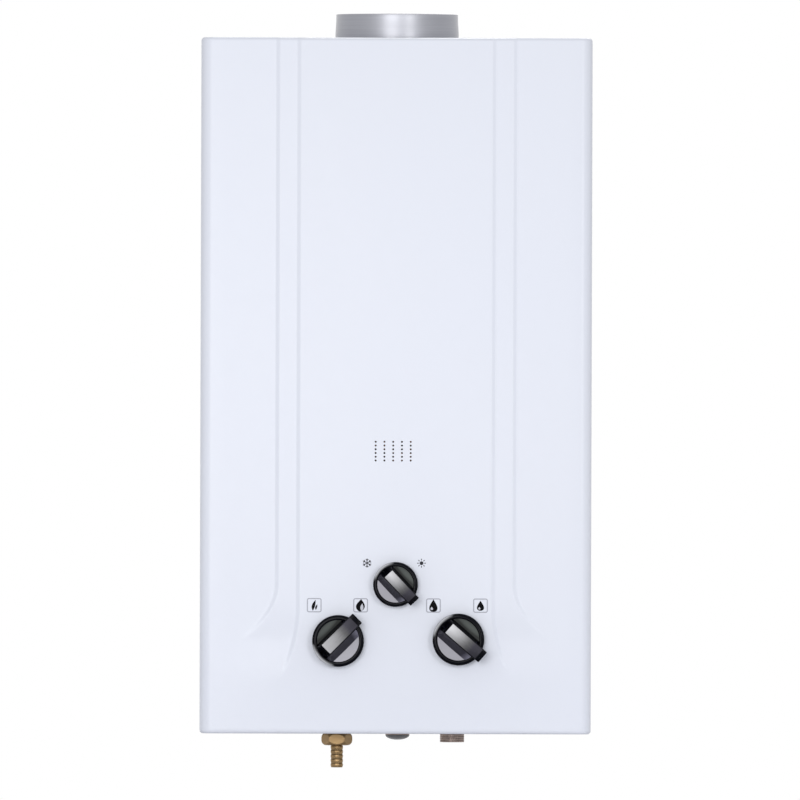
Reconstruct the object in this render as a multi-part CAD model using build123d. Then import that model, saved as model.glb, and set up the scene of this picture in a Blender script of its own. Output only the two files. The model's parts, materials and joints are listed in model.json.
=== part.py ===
from build123d import *
import math
import os

# Wall-hung instantaneous gas water heater with a round flue collar, piece by piece, in millimetres.
# +Z is up, the wall is the plane y = 0 and the front faces -Y.
# The origin is on the wall plane, at the middle of the casing.

# Casing sheet work
CASE_WIDTH = 335.0
CASE_HEIGHT = 596.0
CASE_DEPTH = 165.0
SHEET = 1.0
EDGE_RADIUS = 10.0
RIM_RADIUS = 3.0
SEAT_GAP = 0.3
COVER_REAR = 14.0
COVER_LIP = 20.0
TRAY_DEPTH = 34.0
TRAY_BEND = 1.5

# Stepped lines pressed into the front panel, heights measured up from the casing's foot
STEP_RISE = 1.5
STEP_RUN = 3.4
OUTER_LINE = 101.6
OUTER_FLARE = 34.0
OUTER_FLARE_FROM = 128.0
OUTER_FADE_AT = 78.0
INNER_LINE = 83.5
INNER_FLARE = 17.0
INNER_FLARE_FROM = 110.0
INNER_FADE_AT = 44.0
FLARE_SECTIONS = 4
FADE_SINK = 0.3
PRESS_SINK = 0.6

# Flame view slots, a block of small round holes
VIEW_X = -2.3
VIEW_HEIGHT = 242.0
VIEW_COLUMNS = 5
VIEW_COLUMN_PITCH = 7.5
VIEW_ROWS = 6
VIEW_ROW_PITCH = 3.2
VIEW_HOLE_DIAMETER = 1.8

# Back plate fixings and stiffening beads
BOLT_MARGIN_X = 47.5
BOLT_MARGIN_Z = 48.0
BOLT_HOLE_DIAMETER = 7.0
BEAD_FROM_BRACKET = 20.0
BEAD_MARGIN = 108.0
BEAD_WIDTH = 16.0
BEAD_DEPTH = 2.0

# Bottom plate, a hat section that stands on the cover's lip
PLATE_RECESS = 12.0
PLATE_HALF_WIDTH = 150.0
PLATE_FRONT_ROOM = 14.0
PLATE_REAR_FLANGE = 20.0
PLATE_HOLE_GAP = 2.0
AIR_SLOT_LENGTH = 26.0
AIR_SLOT_WIDTH = 5.0
AIR_SLOT_PITCH = 14.0
AIR_SLOT_COUNT = 15
AIR_SLOT_MARGIN = 22.0

# Cover screws
SCREW_HEAD_DIAMETER = 7.0
SCREW_HEAD_HEIGHT = 1.6
SCREW_DIAMETER = 4.0
SCREW_LENGTH = 7.0
SCREW_GAP = 0.2
SCREW_FROM_WALL = 46.0

# Flue
COLLAR_LOWER_DIAMETER = 106.0
COLLAR_UPPER_DIAMETER = 104.6
COLLAR_STAND = 21.0
COLLAR_STEP = 9.4
COLLAR_STEP_LENGTH = 1.6
COLLAR_WALL = 1.0
COLLAR_FLANGE = 5.0
COLLAR_CHAMFER = 0.4
NOTCH_GAP = 1.0
HOOD_TOP_ROOM = 6.0
HOOD_HEIGHT = 127.0
HOOD_SKIRT = 24.0
HOOD_NECK = 20.0
HOOD_NECK_HALF = 64.0
RELIEF_SLOTS = 7
RELIEF_LENGTH = 40.0
RELIEF_WIDTH = 6.0
RELIEF_PITCH = 15.0
RELIEF_RISE = 55.0

# Heat exchanger
TUBE_DIAMETER = 14.0
COIL_GAP = 0.2
COIL_START_SHARE = 0.095
COIL_FIRST_SHARE = 0.28
COIL_SECOND_SHARE = 0.61
WALL_AIR = 4.0
COVER_AIR = 6.0
SIDE_ROOM = 52.5
CHAMBER_FOOT = 218.0
CHAMBER_CORNER = 10.8
SIGHT_DIAMETER = 38.0
FIN_HEIGHT = 50.0
FIN_COUNT = 15
FIN_SHEET = 0.8
FIN_GAP = 0.3
FIN_TOP_ROOM = 6.0
TUBE_PITCH = 34.0
TUBE_STICKOUT = 4.0
RISER_OUT = 25.0
RISER_BEND = 14.0

# Burner
BLADE_PITCH = 20.0
BLADE_THICK = 9.0
BLADE_RIDGE = 14.0
BLADE_TOP_ROOM = 2.0
BLADE_WEB = 20.0
BLADE_SHOULDER = 5.0
BLADE_CORNER = 3.0
VENTURI_HEIGHT = 14.0
VENTURI_DROP = 45.0
FRAME_LIP = 6.0
MANIFOLD_SIZE = 18.0
MANIFOLD_ROUND = 3.0
MANIFOLD_FRONT_ROOM = 6.0
INJECTOR_DIAMETER = 6.0
INJECTOR_LENGTH = 9.0
INJECTOR_TIP = 3.0
INJECTOR_STANDOFF = 3.0
ELECTRODE_SPACING = 40.0
INSULATOR_DIAMETER = 7.0
INSULATOR_LENGTH = 34.0
ELECTRODE_WIRE = 2.0
ELECTRODE_REACH = 16.0
ELECTRODE_BEND = 3.0
ELECTRODE_PLATE = 12.0
ELECTRODE_FIT = 0.1

# Valves, on one axis across the casing
VALVE_SETBACK = 85.0
VALVE_HEIGHT = 80.0
BOSS_DIAMETER = 24.0
BOSS_LENGTH = 34.0
PORT_DIAMETER = 25.0
PORT_DROP = 44.0
PAD_DIAMETER = 18.0
PAD_LENGTH = 26.0
GAS_BARREL_DIAMETER = 44.0
GAS_BODY_TAIL = 43.0
GAS_BODY_NOSE = 33.0
GAS_FLANGE_DIAMETER = 54.0
GAS_FLANGE = 5.0
OUTLET_RISE = 28.0
OUTLET_FLANGE = 44.0
OUTLET_NECK_DIAMETER = 28.0
SOLENOID_DIAMETER = 26.0
SOLENOID_LENGTH = 32.0
SOLENOID_YOKE = 3.0
SOLENOID_GAP = 1.0
SEASON_BARREL_DIAMETER = 34.0
SEASON_TAIL = 18.0
SEASON_NOSE = 22.0
DUCT_DIAMETER = 18.0
DUCT_X = -38.0
HOUSING_ROOM = 0.5
HOUSING_DIAMETER = 66.0
HOUSING_HALF = 11.0
DIAPHRAGM_THICK = 2.0
CAVITY_WALL = 9.0
CAVITY_DEPTH = 7.5
PLATE_SIDE_GAP = 3.0
PLATE_THICK = 2.2
WATER_BARREL_DIAMETER = 40.0
WATER_TAIL = 34.0
WATER_OUTLET_OFFSET = 18.0
WATER_OUTLET_RISE = 33.0
WATER_OUTLET_DIAMETER = 20.0
NOSE_DIAMETER = 18.0
NOSE_LENGTH = 10.0
HOUSING_SCREWS = 6
HOUSING_SCREW_INSET = 4.5
HOUSING_SCREW_DIAMETER = 4.0
HOUSING_SCREW_HEAD = 7.0
HOUSING_HEAD_HEIGHT = 3.0
HOUSING_SCREW_BITE = 7.0
ROD_DIAMETER = 5.0
ROD_FIT = 0.06
ROD_TRAVEL = 4.0
ROD_GRIP = 18.0
ROD_END_ROOM = 2.0
TRIP_DIAMETER = 12.0
TRIP_WIDTH = 3.0
TRIP_FROM_NOSE = 7.0
SWITCH_ARM = 26.0
SWITCH_ARM_THICK = 2.0
SWITCH_LENGTH = 20.0
SWITCH_DEPTH = 8.0
SWITCH_HEIGHT = 10.0
SWITCH_LIFT = 3.0
SWITCH_PIN = 2.5
SWITCH_TRIP_GAP = 0.4

# Spindles and knobs, angles of the pointer seen from the front, anticlockwise from +X
SPINDLE_DIAMETER = 8.0
SPINDLE_FIT = 0.06
SPINDLE_SEAT = 14.0
SPINDLE_END_ROOM = 0.5
SPINDLE_FLAT = 1.5
SPINDLE_GRIP = 12.0
GLAND_FLATS = 17.0
GLAND_LENGTH = 9.0
KNOB_HOLE_DIAMETER = 22.0
KNOB_GAP = 0.8
KNOB_SKIRT = 9.0
KNOB_RISE = 20.0
KNOB_ROUND = 2.2
KNOB_RIM = 4.0
KNOB_DISH = 1.2
KNOB_WALL = 3.0
KNOB_HOLLOW = 5.0
KNOB_HUB_DIAMETER = 15.0
KNOB_BORE_FIT = 0.1
BAR_ROUND = 1.2
KNOB_DIAMETER = 44.4
KNOB_REACH = 25.6
KNOB_BAR = 11.4
KNOB_BAR_SHIFT = 2.2
KNOB_BAR_TAIL = 13.0
BAR_FLANK_LEFT = 1.7
BAR_FLANK_RIGHT = 6.6
BAR_SEAM = 0.3
SEASON_KNOB_DIAMETER = 38.4
GAS_KNOB_X = -49.0
GAS_KNOB_HEIGHT = 79.5
GAS_POINTS = 45.0
SEASON_KNOB_X = 0.0
SEASON_KNOB_HEIGHT = 128.0
SEASON_POINTS = -46.6
WATER_KNOB_X = 54.0
WATER_KNOB_HEIGHT = 81.0
WATER_POINTS = -41.0

# Pipe ends below the casing, reach measured down from the casing's foot
WATER_THREAD_DIAMETER = 20.955
WATER_BORE_DIAMETER = 15.0
GAS_THREAD_DIAMETER = 16.66
GAS_BORE_DIAMETER = 10.0
STUB_FLANGE = 4.5
STUB_FLANGE_THICK = 4.0
GAS_X = -50.0
COLD_X = 49.0
COLD_REACH = 8.0
HOT_X = 2.0
HOT_SETBACK = 45.0
HOT_REACH = 2.5
HOT_PIPE_LEVEL = 50.0
HOT_SOCKET = 6.0
PLUG_HEAD_DIAMETER = 20.8
PLUG_DOME = 4.2
PLUG_LENGTH = 12.0
PLUG_FIT = 0.15
FILTER_THICK = 2.0
FILTER_DEPTH = 10.0
FILTER_FIT = 0.1
NUT_FLATS = 23.0
NUT_LENGTH = 12.0
NUT_REACH = 11.0
NUT_LIP = 2.5
NUT_FIT = 0.2
NUT_ROUND = 3.8
BARB_DIAMETER = 10.7
BARB_ROOT = 9.6
BARB_BORE = 6.0
BARB_RIBS = 5
BARB_RISE = 1.0
BARB_LAND = 1.0
BARB_REACH = 30.0
BARB_COLLAR = 2.5
WASHER_THICK = 1.5

# Electrics on the back plate and in the bottom plate
IGNITER_FROM_SIDE = 51.5
IGNITER_HEIGHT = 120.0
IGNITER_WIDTH = 62.0
IGNITER_TALL = 52.0
IGNITER_DEEP = 28.0
IGNITER_ROUND = 3.0
IGNITER_EAR = 8.0
IGNITER_EAR_THICK = 2.0
IGNITER_PLUGS = 3
IGNITER_PLUG_DIAMETER = 9.0
IGNITER_PLUG_LENGTH = 8.0
CELL_DIAMETER = 33.2
CELL_LENGTH = 58.5
CELL_BUTTON_DIAMETER = 9.5
CELL_BUTTON = 2.0
CELL_ROOM = 0.3
CONTACT_THICK = 0.6
BOX_WALL = 2.0
BOX_LEFT = 76.0
BOX_SETBACK = 30.0
BOX_ROUND = 2.0
BOX_FLANGE = 5.0
BOX_FLANGE_THICK = 2.0
LID_THICK = 2.4
LID_OVERLAP = 2.0
LID_GAP = 0.4
LID_EAR = 4.0
LID_PIN_DIAMETER = 3.0
LID_PIN_FIT = 0.08
LID_KNUCKLE_DIAMETER = 6.0
LID_FINGER = 7.0
THERMOSTAT_DIAMETER = 16.0
THERMOSTAT_LENGTH = 9.0
THERMOSTAT_DROP = 72.0
SADDLE_WIDTH = 20.0
SADDLE_DEPTH = 6.0

# Brackets from the back plate
BRACKET_SHEET = 1.5
BRACKET_FOOT = 16.0
BRACKET_HEIGHT = 14.0
BRACKET_INSET = 35.0
BRACKET_OFFSET = 12.0
CHAMBER_BRACKET_DROP = 58.0

# Levels and planes that follow from the sizes above
TOP = CASE_HEIGHT / 2
FOOT = -CASE_HEIGHT / 2
COVER_INNER_HALF = CASE_WIDTH / 2 - SHEET
TRAY_HALF = COVER_INNER_HALF - SEAT_GAP
TRAY_TOP = TOP - SHEET - SEAT_GAP
TRAY_FOOT = FOOT + RIM_RADIUS + SEAT_GAP
PLATE_TOP = FOOT + PLATE_RECESS + SHEET
PANEL_Y = -CASE_DEPTH
BOLT_SPACING_X = CASE_WIDTH - 2 * BOLT_MARGIN_X
BOLT_SPACING_Z = CASE_HEIGHT - 2 * BOLT_MARGIN_Z
BEAD_LENGTH = CASE_HEIGHT - 2 * BEAD_MARGIN
KNOB_BACK = PANEL_Y - 2 * STEP_RISE - KNOB_GAP
CHAMBER_REAR = -(SHEET + WALL_AIR + TUBE_DIAMETER + COIL_GAP)
CHAMBER_FRONT = -(CASE_DEPTH - SHEET - COVER_AIR - TUBE_DIAMETER - COIL_GAP)
CHAMBER_MID = (CHAMBER_REAR + CHAMBER_FRONT) / 2
CHAMBER_HALF = CASE_WIDTH / 2 - SIDE_ROOM
CHAMBER_Z = FOOT + CHAMBER_FOOT
HOOD_TOP = TOP - HOOD_TOP_ROOM
CHAMBER_TOP = HOOD_TOP - HOOD_HEIGHT
BRACKET_X = CHAMBER_HALF - BRACKET_INSET
BEAD_X = BRACKET_X - BEAD_FROM_BRACKET
TUBE_Z = CHAMBER_TOP - FIN_TOP_ROOM - FIN_HEIGHT / 2
COIL_START_Z = CHAMBER_Z + COIL_START_SHARE * (TUBE_Z - CHAMBER_Z)
COIL_OUT = TUBE_DIAMETER / 2 + COIL_GAP
COIL_BEND = CHAMBER_CORNER + COIL_OUT
VALVE_Y = -VALVE_SETBACK
VALVE_Z = FOOT + VALVE_HEIGHT
GAS_KNOB_Z = FOOT + GAS_KNOB_HEIGHT
SEASON_KNOB_Z = FOOT + SEASON_KNOB_HEIGHT
WATER_KNOB_Z = FOOT + WATER_KNOB_HEIGHT
VIEW_Z = FOOT + VIEW_HEIGHT
BOSS_FRONT = VALVE_Y - BOSS_LENGTH
GAS_LEFT = GAS_KNOB_X - GAS_BODY_TAIL
GAS_RIGHT = GAS_KNOB_X + GAS_BODY_NOSE
OUTLET_Z = VALVE_Z + OUTLET_RISE
HOUSING_X = COLD_X - PORT_DIAMETER / 2 - DIAPHRAGM_THICK / 2 - HOUSING_ROOM
HOUSING_LEFT = HOUSING_X - DIAPHRAGM_THICK / 2
HOUSING_RIGHT = HOUSING_X + DIAPHRAGM_THICK / 2
NOSE_LEFT = HOUSING_LEFT - HOUSING_HALF - NOSE_LENGTH
HOUSING_SCREW_RING = HOUSING_DIAMETER - 2 * HOUSING_SCREW_INSET
CAVITY_DIAMETER = HOUSING_DIAMETER - 2 * CAVITY_WALL
PLATE_DIAMETER = CAVITY_DIAMETER - 2 * PLATE_SIDE_GAP
PAD_Y = VALVE_Y + PAD_LENGTH
PORT_Z = VALVE_Z - PORT_DROP
BLADE_TOP = CHAMBER_Z - BLADE_TOP_ROOM
RIDGE_FOOT = BLADE_TOP - BLADE_RIDGE
FRAME_FOOT = RIDGE_FOOT - SHEET
VENTURI_Z = RIDGE_FOOT - VENTURI_DROP
MANIFOLD_Y = CHAMBER_FRONT + MANIFOLD_FRONT_ROOM + MANIFOLD_SIZE / 2
MANIFOLD_REAR = MANIFOLD_Y + MANIFOLD_SIZE / 2
BLADE_INLET = MANIFOLD_REAR + INJECTOR_LENGTH + INJECTOR_STANDOFF
BLADE_FRONT = CHAMBER_FRONT + SHEET + SEAT_GAP
BLADE_REAR = CHAMBER_REAR - SHEET - SEAT_GAP
IGNITER_X = CASE_WIDTH / 2 - IGNITER_FROM_SIDE
BOX_INNER_WIDTH = CELL_LENGTH + CELL_BUTTON + 2 * CONTACT_THICK
BOX_INNER_DEPTH = 2 * CELL_DIAMETER + 3 * CELL_ROOM
BOX_INNER_HEIGHT = CELL_DIAMETER + 2 * CELL_ROOM
BOX_RIGHT = BOX_LEFT + BOX_INNER_WIDTH + 2 * BOX_WALL
BOX_REAR = -BOX_SETBACK
BOX_FRONT = BOX_REAR - BOX_INNER_DEPTH - 2 * BOX_WALL
LID_PIN_Z = PLATE_TOP - SHEET - LID_GAP - LID_KNUCKLE_DIAMETER / 2
LID_PIN_Y = BOX_REAR + LID_KNUCKLE_DIAMETER / 2 + LID_OVERLAP


def span(x0, x1, y0, y1, z0, z1):
    """Block between two opposite corners."""
    middle = Pos((x0 + x1) / 2, (y0 + y1) / 2, (z0 + z1) / 2)
    return middle * Box(abs(x1 - x0), abs(y1 - y0), abs(z1 - z0))


def bar_x(diameter, x0, x1, y, z):
    """Round bar along X."""
    return Pos((x0 + x1) / 2, y, z) * Rot(0, 90, 0) * Cylinder(diameter / 2, abs(x1 - x0))


def bar_y(diameter, y0, y1, x, z):
    """Round bar along Y."""
    return Pos(x, (y0 + y1) / 2, z) * Rot(90, 0, 0) * Cylinder(diameter / 2, abs(y1 - y0))


def bar_z(diameter, z0, z1, x, y):
    """Round bar along Z."""
    return Pos(x, y, (z0 + z1) / 2) * Cylinder(diameter / 2, abs(z1 - z0))


def turned(outline, x=0.0, y=0.0):
    """Solid of revolution about the vertical line at x, y, from radius and height pairs."""
    face = make_face(Polyline(*[(radius, 0, height) for radius, height in outline], close=True))
    return Pos(x, y, 0) * revolve(face, Axis.Z)


def pipe(points, bend):
    """Water tube along straight runs joined by bends of one radius."""
    path = FilletPolyline(*points, radius=bend)
    section = Plane(origin=path @ 0, z_dir=path % 0) * Circle(TUBE_DIAMETER / 2)
    return sweep(section, path=path)


def prism_y(points, y0, y1):
    """Outline in X and Z carried from y0 to y1."""
    face = make_face(Polyline(*[(x, y0, z) for x, z in points], close=True))
    return extrude(face, amount=y1 - y0, dir=(0, 1, 0))


def casing_block(inset, forward=0.0):
    """Rounded block of the casing, drawn in by inset and with its front moved forward."""
    half = CASE_WIDTH / 2 - inset
    front = PANEL_Y + inset - forward
    corners = [(-half, -COVER_REAR), (-half, front), (half, front), (half, -COVER_REAR)]
    plan = make_face(Polyline(*corners, close=True))
    plan = fillet(plan.vertices().sort_by(Axis.Y)[:2], EDGE_RADIUS - inset)
    block = extrude(plan, amount=CASE_HEIGHT / 2 - inset, both=True)
    edges = block.faces().filter_by(Axis.Z).edges()
    rims = [edge for edge in edges if edge.center().Y < -COVER_REAR - SEAT_GAP]
    return fillet(rims, max(RIM_RADIUS - inset, SEAT_GAP))


def step_section(half, height, level, z):
    """Trapezium of one raised step across the panel at height z."""
    crest = half - STEP_RUN / 2
    back = PANEL_Y + PRESS_SINK * level
    foot = crest + STEP_RUN * level * (1 + PRESS_SINK / STEP_RISE)
    right = [(foot, back), (crest, PANEL_Y - height)]
    left = [(-x, y) for x, y in reversed(right)]
    return make_face(Polyline(*[(x, y, z) for x, y in right + left], close=True))


def raised_step(line, flare, flare_from, fade_at, level, shift):
    """One raised step of the panel: straight at the top, flaring and fading out below."""
    start = FOOT + flare_from
    drop = flare_from - fade_at
    full = STEP_RISE * level
    sections = [step_section(line, full, level, TOP)]
    for index in range(FLARE_SECTIONS + 1):
        part = index / FLARE_SECTIONS
        height = full - (full + FADE_SINK) * part**2
        sections.append(step_section(line + flare * part**2, height, level, start - drop * part))
    return Pos(0, shift, 0) * loft(sections, ruled=True) & casing_block(shift, full)


def panel_form(inset):
    """Casing block with both raised steps, drawn in by inset."""
    outer = raised_step(OUTER_LINE, OUTER_FLARE, OUTER_FLARE_FROM, OUTER_FADE_AT, 1, inset)
    inner = raised_step(INNER_LINE, INNER_FLARE, INNER_FLARE_FROM, INNER_FADE_AT, 2, inset)
    return casing_block(inset) + outer + inner


def view_holes(depth):
    """Block of small round holes that shows the flame."""
    places = GridLocations(VIEW_COLUMN_PITCH, VIEW_ROW_PITCH, VIEW_COLUMNS, VIEW_ROWS)
    holes = [place * Cylinder(VIEW_HOLE_DIAMETER / 2, depth) for place in places]
    return [Pos(VIEW_X, PANEL_Y, VIEW_Z) * Rot(90, 0, 0) * hole for hole in holes]


def knob_places():
    """Centre and pointer angle of each knob, seen from the front."""
    return {
        "gas": (GAS_KNOB_X, GAS_KNOB_Z, GAS_POINTS),
        "season": (SEASON_KNOB_X, SEASON_KNOB_Z, SEASON_POINTS),
        "water": (WATER_KNOB_X, WATER_KNOB_Z, WATER_POINTS),
    }


def cover_screw_places():
    """Screws through the cover's lip into the feet of the bottom plate."""
    x = (PLATE_HALF_WIDTH + COVER_INNER_HALF - RIM_RADIUS) / 2
    return [(-x, -SCREW_FROM_WALL), (x, -SCREW_FROM_WALL)]


def front_cover():
    """Pressed front cover: front, sides, top and a narrow lip below."""
    depth = 2 * CASE_DEPTH
    cover = panel_form(0.0) - panel_form(SHEET)
    notch_half = COLLAR_LOWER_DIAMETER / 2 + NOTCH_GAP
    cover -= bar_z(2 * notch_half, TOP - RIM_RADIUS, TOP + SHEET, 0, CHAMBER_MID)
    cover -= span(-notch_half, notch_half, CHAMBER_MID, 0, TOP - RIM_RADIUS, TOP + SHEET)
    lip_half = CASE_WIDTH / 2 - COVER_LIP
    cover -= span(-lip_half, lip_half, PANEL_Y + COVER_LIP, 0, FOOT - SHEET, FOOT + RIM_RADIUS)
    cover -= view_holes(depth - CASE_DEPTH)
    for x, z, _ in knob_places().values():
        cover -= bar_y(KNOB_HOLE_DIAMETER, -depth, PANEL_Y / 2, x, z)
    for x, y in cover_screw_places():
        cover -= bar_z(SCREW_DIAMETER + 2 * SCREW_GAP, FOOT - SHEET, FOOT + 2 * SHEET, x, y)
    return cover


def cover_screws():
    """Two low-headed screws that hold the cover's lip."""
    head = FOOT - SCREW_HEAD_HEIGHT
    screws = []
    for x, y in cover_screw_places():
        shank = bar_z(SCREW_DIAMETER, FOOT, FOOT + SCREW_LENGTH, x, y)
        screws.append(shank + bar_z(SCREW_HEAD_DIAMETER, head, FOOT, x, y))
    return screws


def back_plate():
    """Shallow steel tray against the wall, with two stiffening beads and four bolt holes."""
    tray = span(-TRAY_HALF, TRAY_HALF, -TRAY_DEPTH, 0, TRAY_FOOT, TRAY_TOP)
    corners = [edge for edge in tray.edges().filter_by(Axis.Y) if edge.center().Z > 0]
    tray = fillet(corners, RIM_RADIUS - SHEET)
    rear = [edge for edge in tray.edges() if edge.center().Y > -SHEET]
    tray = fillet([edge for edge in rear if edge.center().Z > TRAY_FOOT + SHEET], TRAY_BEND)
    inner_half = TRAY_HALF - SHEET
    tray -= span(-inner_half, inner_half, -TRAY_DEPTH, -SHEET, TRAY_FOOT, TRAY_TOP - SHEET)
    tray -= bar_z(COLLAR_LOWER_DIAMETER + 2 * NOTCH_GAP, TRAY_TOP - SHEET, TOP, 0, CHAMBER_MID)
    for x in (-BEAD_X, BEAD_X):
        face = Pos(x, 0, 0) * Rot(90, 0, 0) * Rot(0, 0, 90)
        groove = SlotOverall(BEAD_LENGTH - 2 * SHEET, BEAD_WIDTH - 2 * SHEET)
        tray += face * extrude(SlotOverall(BEAD_LENGTH, BEAD_WIDTH), amount=BEAD_DEPTH + SHEET)
        tray -= face * extrude(groove, amount=BEAD_DEPTH)
    for x in (-BOLT_SPACING_X / 2, BOLT_SPACING_X / 2):
        for z in (-BOLT_SPACING_Z / 2, BOLT_SPACING_Z / 2):
            tray -= bar_y(BOLT_HOLE_DIAMETER, -TRAY_DEPTH, TRAY_DEPTH, x, z)
    return tray


def stub_places():
    """Place and thread diameter of each pipe end in the bottom plate."""
    return {
        "gas": (GAS_X, VALVE_Y, GAS_THREAD_DIAMETER),
        "hot": (HOT_X, -HOT_SETBACK, WATER_THREAD_DIAMETER),
        "cold": (COLD_X, VALVE_Y, WATER_THREAD_DIAMETER),
    }


def plate_section():
    """Half of the hat section in X and Z, from the middle of the plate out to its foot."""
    outer = COVER_INNER_HALF - RIM_RADIUS
    leg = PLATE_HALF_WIDTH
    foot = FOOT + SHEET
    upper = [(leg, PLATE_TOP), (leg, foot + SHEET), (outer, foot + SHEET)]
    lower = [(outer, foot), (leg - SHEET, foot), (leg - SHEET, PLATE_TOP - SHEET)]
    return upper + lower


def box_inside(z0, z1):
    """Block of the battery compartment's inside, between two heights."""
    wall = BOX_WALL
    return span(BOX_LEFT + wall, BOX_RIGHT - wall, BOX_FRONT + wall, BOX_REAR - wall, z0, z1)


def bottom_plate():
    """Hat-section plate with pipe holes, air slots and the battery door's opening."""
    right = plate_section()
    left = [(-x, z) for x, z in reversed(right)]
    front = PANEL_Y + PLATE_FRONT_ROOM
    plate = prism_y(right + left, front, -SHEET)
    flange_half = PLATE_HALF_WIDTH - BRACKET_FOOT
    rear_top = PLATE_TOP + PLATE_REAR_FLANGE
    plate += span(-flange_half, flange_half, -2 * SHEET, -SHEET, PLATE_TOP - SHEET, rear_top)
    for x, y, thread in stub_places().values():
        plate -= bar_z(thread + 2 * PLATE_HOLE_GAP, FOOT, PLATE_TOP + SHEET, x, y)
    plate -= box_inside(FOOT, PLATE_TOP + SHEET)
    slot = Rot(0, 0, 90) * SlotOverall(AIR_SLOT_LENGTH, AIR_SLOT_WIDTH)
    slots = GridLocations(AIR_SLOT_PITCH, 1, AIR_SLOT_COUNT, 1)
    row = Pos((BOX_LEFT - PLATE_HALF_WIDTH) / 2, front + AIR_SLOT_MARGIN, PLATE_TOP - SHEET)
    plate -= [row * place * extrude(slot, amount=SHEET) for place in slots]
    for x, y in cover_screw_places():
        plate -= bar_z(SCREW_DIAMETER + 2 * SCREW_GAP, FOOT, FOOT + 3 * SHEET, x, y)
    return plate


def z_bracket(x, reach, z, height):
    """Folded bracket from the back plate forward to reach, with a foot at each end."""
    side = math.copysign(BRACKET_FOOT, x)
    skin = math.copysign(BRACKET_SHEET, x)
    rear = -SHEET
    seat = reach + BRACKET_SHEET
    path = [(x, reach), (x - side, reach), (x - side, seat), (x - skin, seat)]
    path += [(x - skin, rear), (x + side, rear), (x + side, rear - BRACKET_SHEET), (x, rear - BRACKET_SHEET)]
    face = make_face(Polyline(*[(px, py, z) for px, py in path], close=True))
    return extrude(face, amount=height, dir=(0, 0, 1))


def chamber_brackets():
    """Pair of brackets that hold the combustion chamber."""
    z = CHAMBER_TOP - CHAMBER_BRACKET_DROP
    return [z_bracket(x, CHAMBER_REAR, z, BRACKET_HEIGHT) for x in (-BRACKET_X, BRACKET_X)]


def burner_brackets():
    """Pair of brackets that hold the burner frame."""
    return [z_bracket(x, CHAMBER_REAR, FRAME_FOOT, BRACKET_HEIGHT) for x in (-BRACKET_X, BRACKET_X)]


def valve_brackets():
    """Pair of brackets that hold the valves by their rear pads."""
    z = VALVE_Z - BRACKET_HEIGHT / 2
    webs = (GAS_KNOB_X - BRACKET_OFFSET, WATER_KNOB_X + BRACKET_OFFSET)
    return [z_bracket(x, PAD_Y, z, BRACKET_HEIGHT) for x in webs]


def flue_collar():
    """Two-band flue spigot with a flange that sits on the hood."""
    lower = COLLAR_LOWER_DIAMETER / 2
    upper = COLLAR_UPPER_DIAMETER / 2
    bore = upper - COLLAR_WALL
    crown = TOP + COLLAR_STAND
    step = TOP + COLLAR_STEP
    outer = [(lower + COLLAR_FLANGE, HOOD_TOP), (lower + COLLAR_FLANGE, HOOD_TOP + COLLAR_WALL)]
    outer += [(lower, HOOD_TOP + COLLAR_WALL), (lower, step), (upper, step + COLLAR_STEP_LENGTH)]
    outer += [(upper, crown - COLLAR_CHAMFER), (upper - COLLAR_CHAMFER, crown)]
    inner = [(bore, crown), (bore, step + COLLAR_STEP_LENGTH), (lower - COLLAR_WALL, step)]
    return turned(outer + inner + [(lower - COLLAR_WALL, HOOD_TOP)], 0, CHAMBER_MID)


def hood_outline(inset):
    """Front view of the hood, drawn in by inset and open below."""
    shoulder = CHAMBER_TOP + HOOD_SKIRT
    neck = HOOD_TOP - HOOD_NECK
    base = CHAMBER_HALF - inset
    throat = HOOD_NECK_HALF - inset
    right = [(base, CHAMBER_TOP), (base, shoulder), (throat, neck), (throat, HOOD_TOP - inset)]
    return right + [(-x, z) for x, z in reversed(right)]


def draft_hood():
    """Folded sheet hood that narrows to the flue, with relief slots in its front."""
    hood = prism_y(hood_outline(0.0), CHAMBER_FRONT, CHAMBER_REAR)
    hood -= prism_y(hood_outline(SHEET), CHAMBER_FRONT + SHEET, CHAMBER_REAR - SHEET)
    hood -= bar_z(COLLAR_LOWER_DIAMETER - 2 * COLLAR_WALL, HOOD_TOP - 2 * SHEET, TOP, 0, CHAMBER_MID)
    slot = Rot(0, 0, 90) * SlotOverall(RELIEF_LENGTH, RELIEF_WIDTH)
    wall = Pos(0, CHAMBER_FRONT + SHEET, CHAMBER_TOP + RELIEF_RISE) * Rot(90, 0, 0)
    slots = GridLocations(RELIEF_PITCH, 1, RELIEF_SLOTS, 1)
    return hood - [wall * place * extrude(slot, amount=SHEET) for place in slots]


def exchanger_tube_places():
    """Front-to-back places of the three tubes through the fins, rear one first."""
    return [CHAMBER_MID + TUBE_PITCH, CHAMBER_MID, CHAMBER_MID - TUBE_PITCH]


def chamber_block(inset, z0, z1):
    """Round-cornered block of the chamber, drawn in by inset."""
    half = CHAMBER_HALF - inset
    block = span(-half, half, CHAMBER_FRONT + inset, CHAMBER_REAR - inset, z0, z1)
    return fillet(block.edges().filter_by(Axis.Z), CHAMBER_CORNER - inset)


def combustion_chamber():
    """Copper chamber, open above and below, with tube holes and a sight hole."""
    wall = SHEET
    chamber = chamber_block(0.0, CHAMBER_Z, CHAMBER_TOP) - chamber_block(wall, CHAMBER_Z, CHAMBER_TOP)
    for y in exchanger_tube_places():
        chamber -= bar_x(TUBE_DIAMETER + 2 * COIL_GAP, -CASE_WIDTH, CASE_WIDTH, y, TUBE_Z)
    return chamber - bar_y(SIGHT_DIAMETER, CHAMBER_FRONT - wall, CHAMBER_MID, VIEW_X, VIEW_Z)


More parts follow.
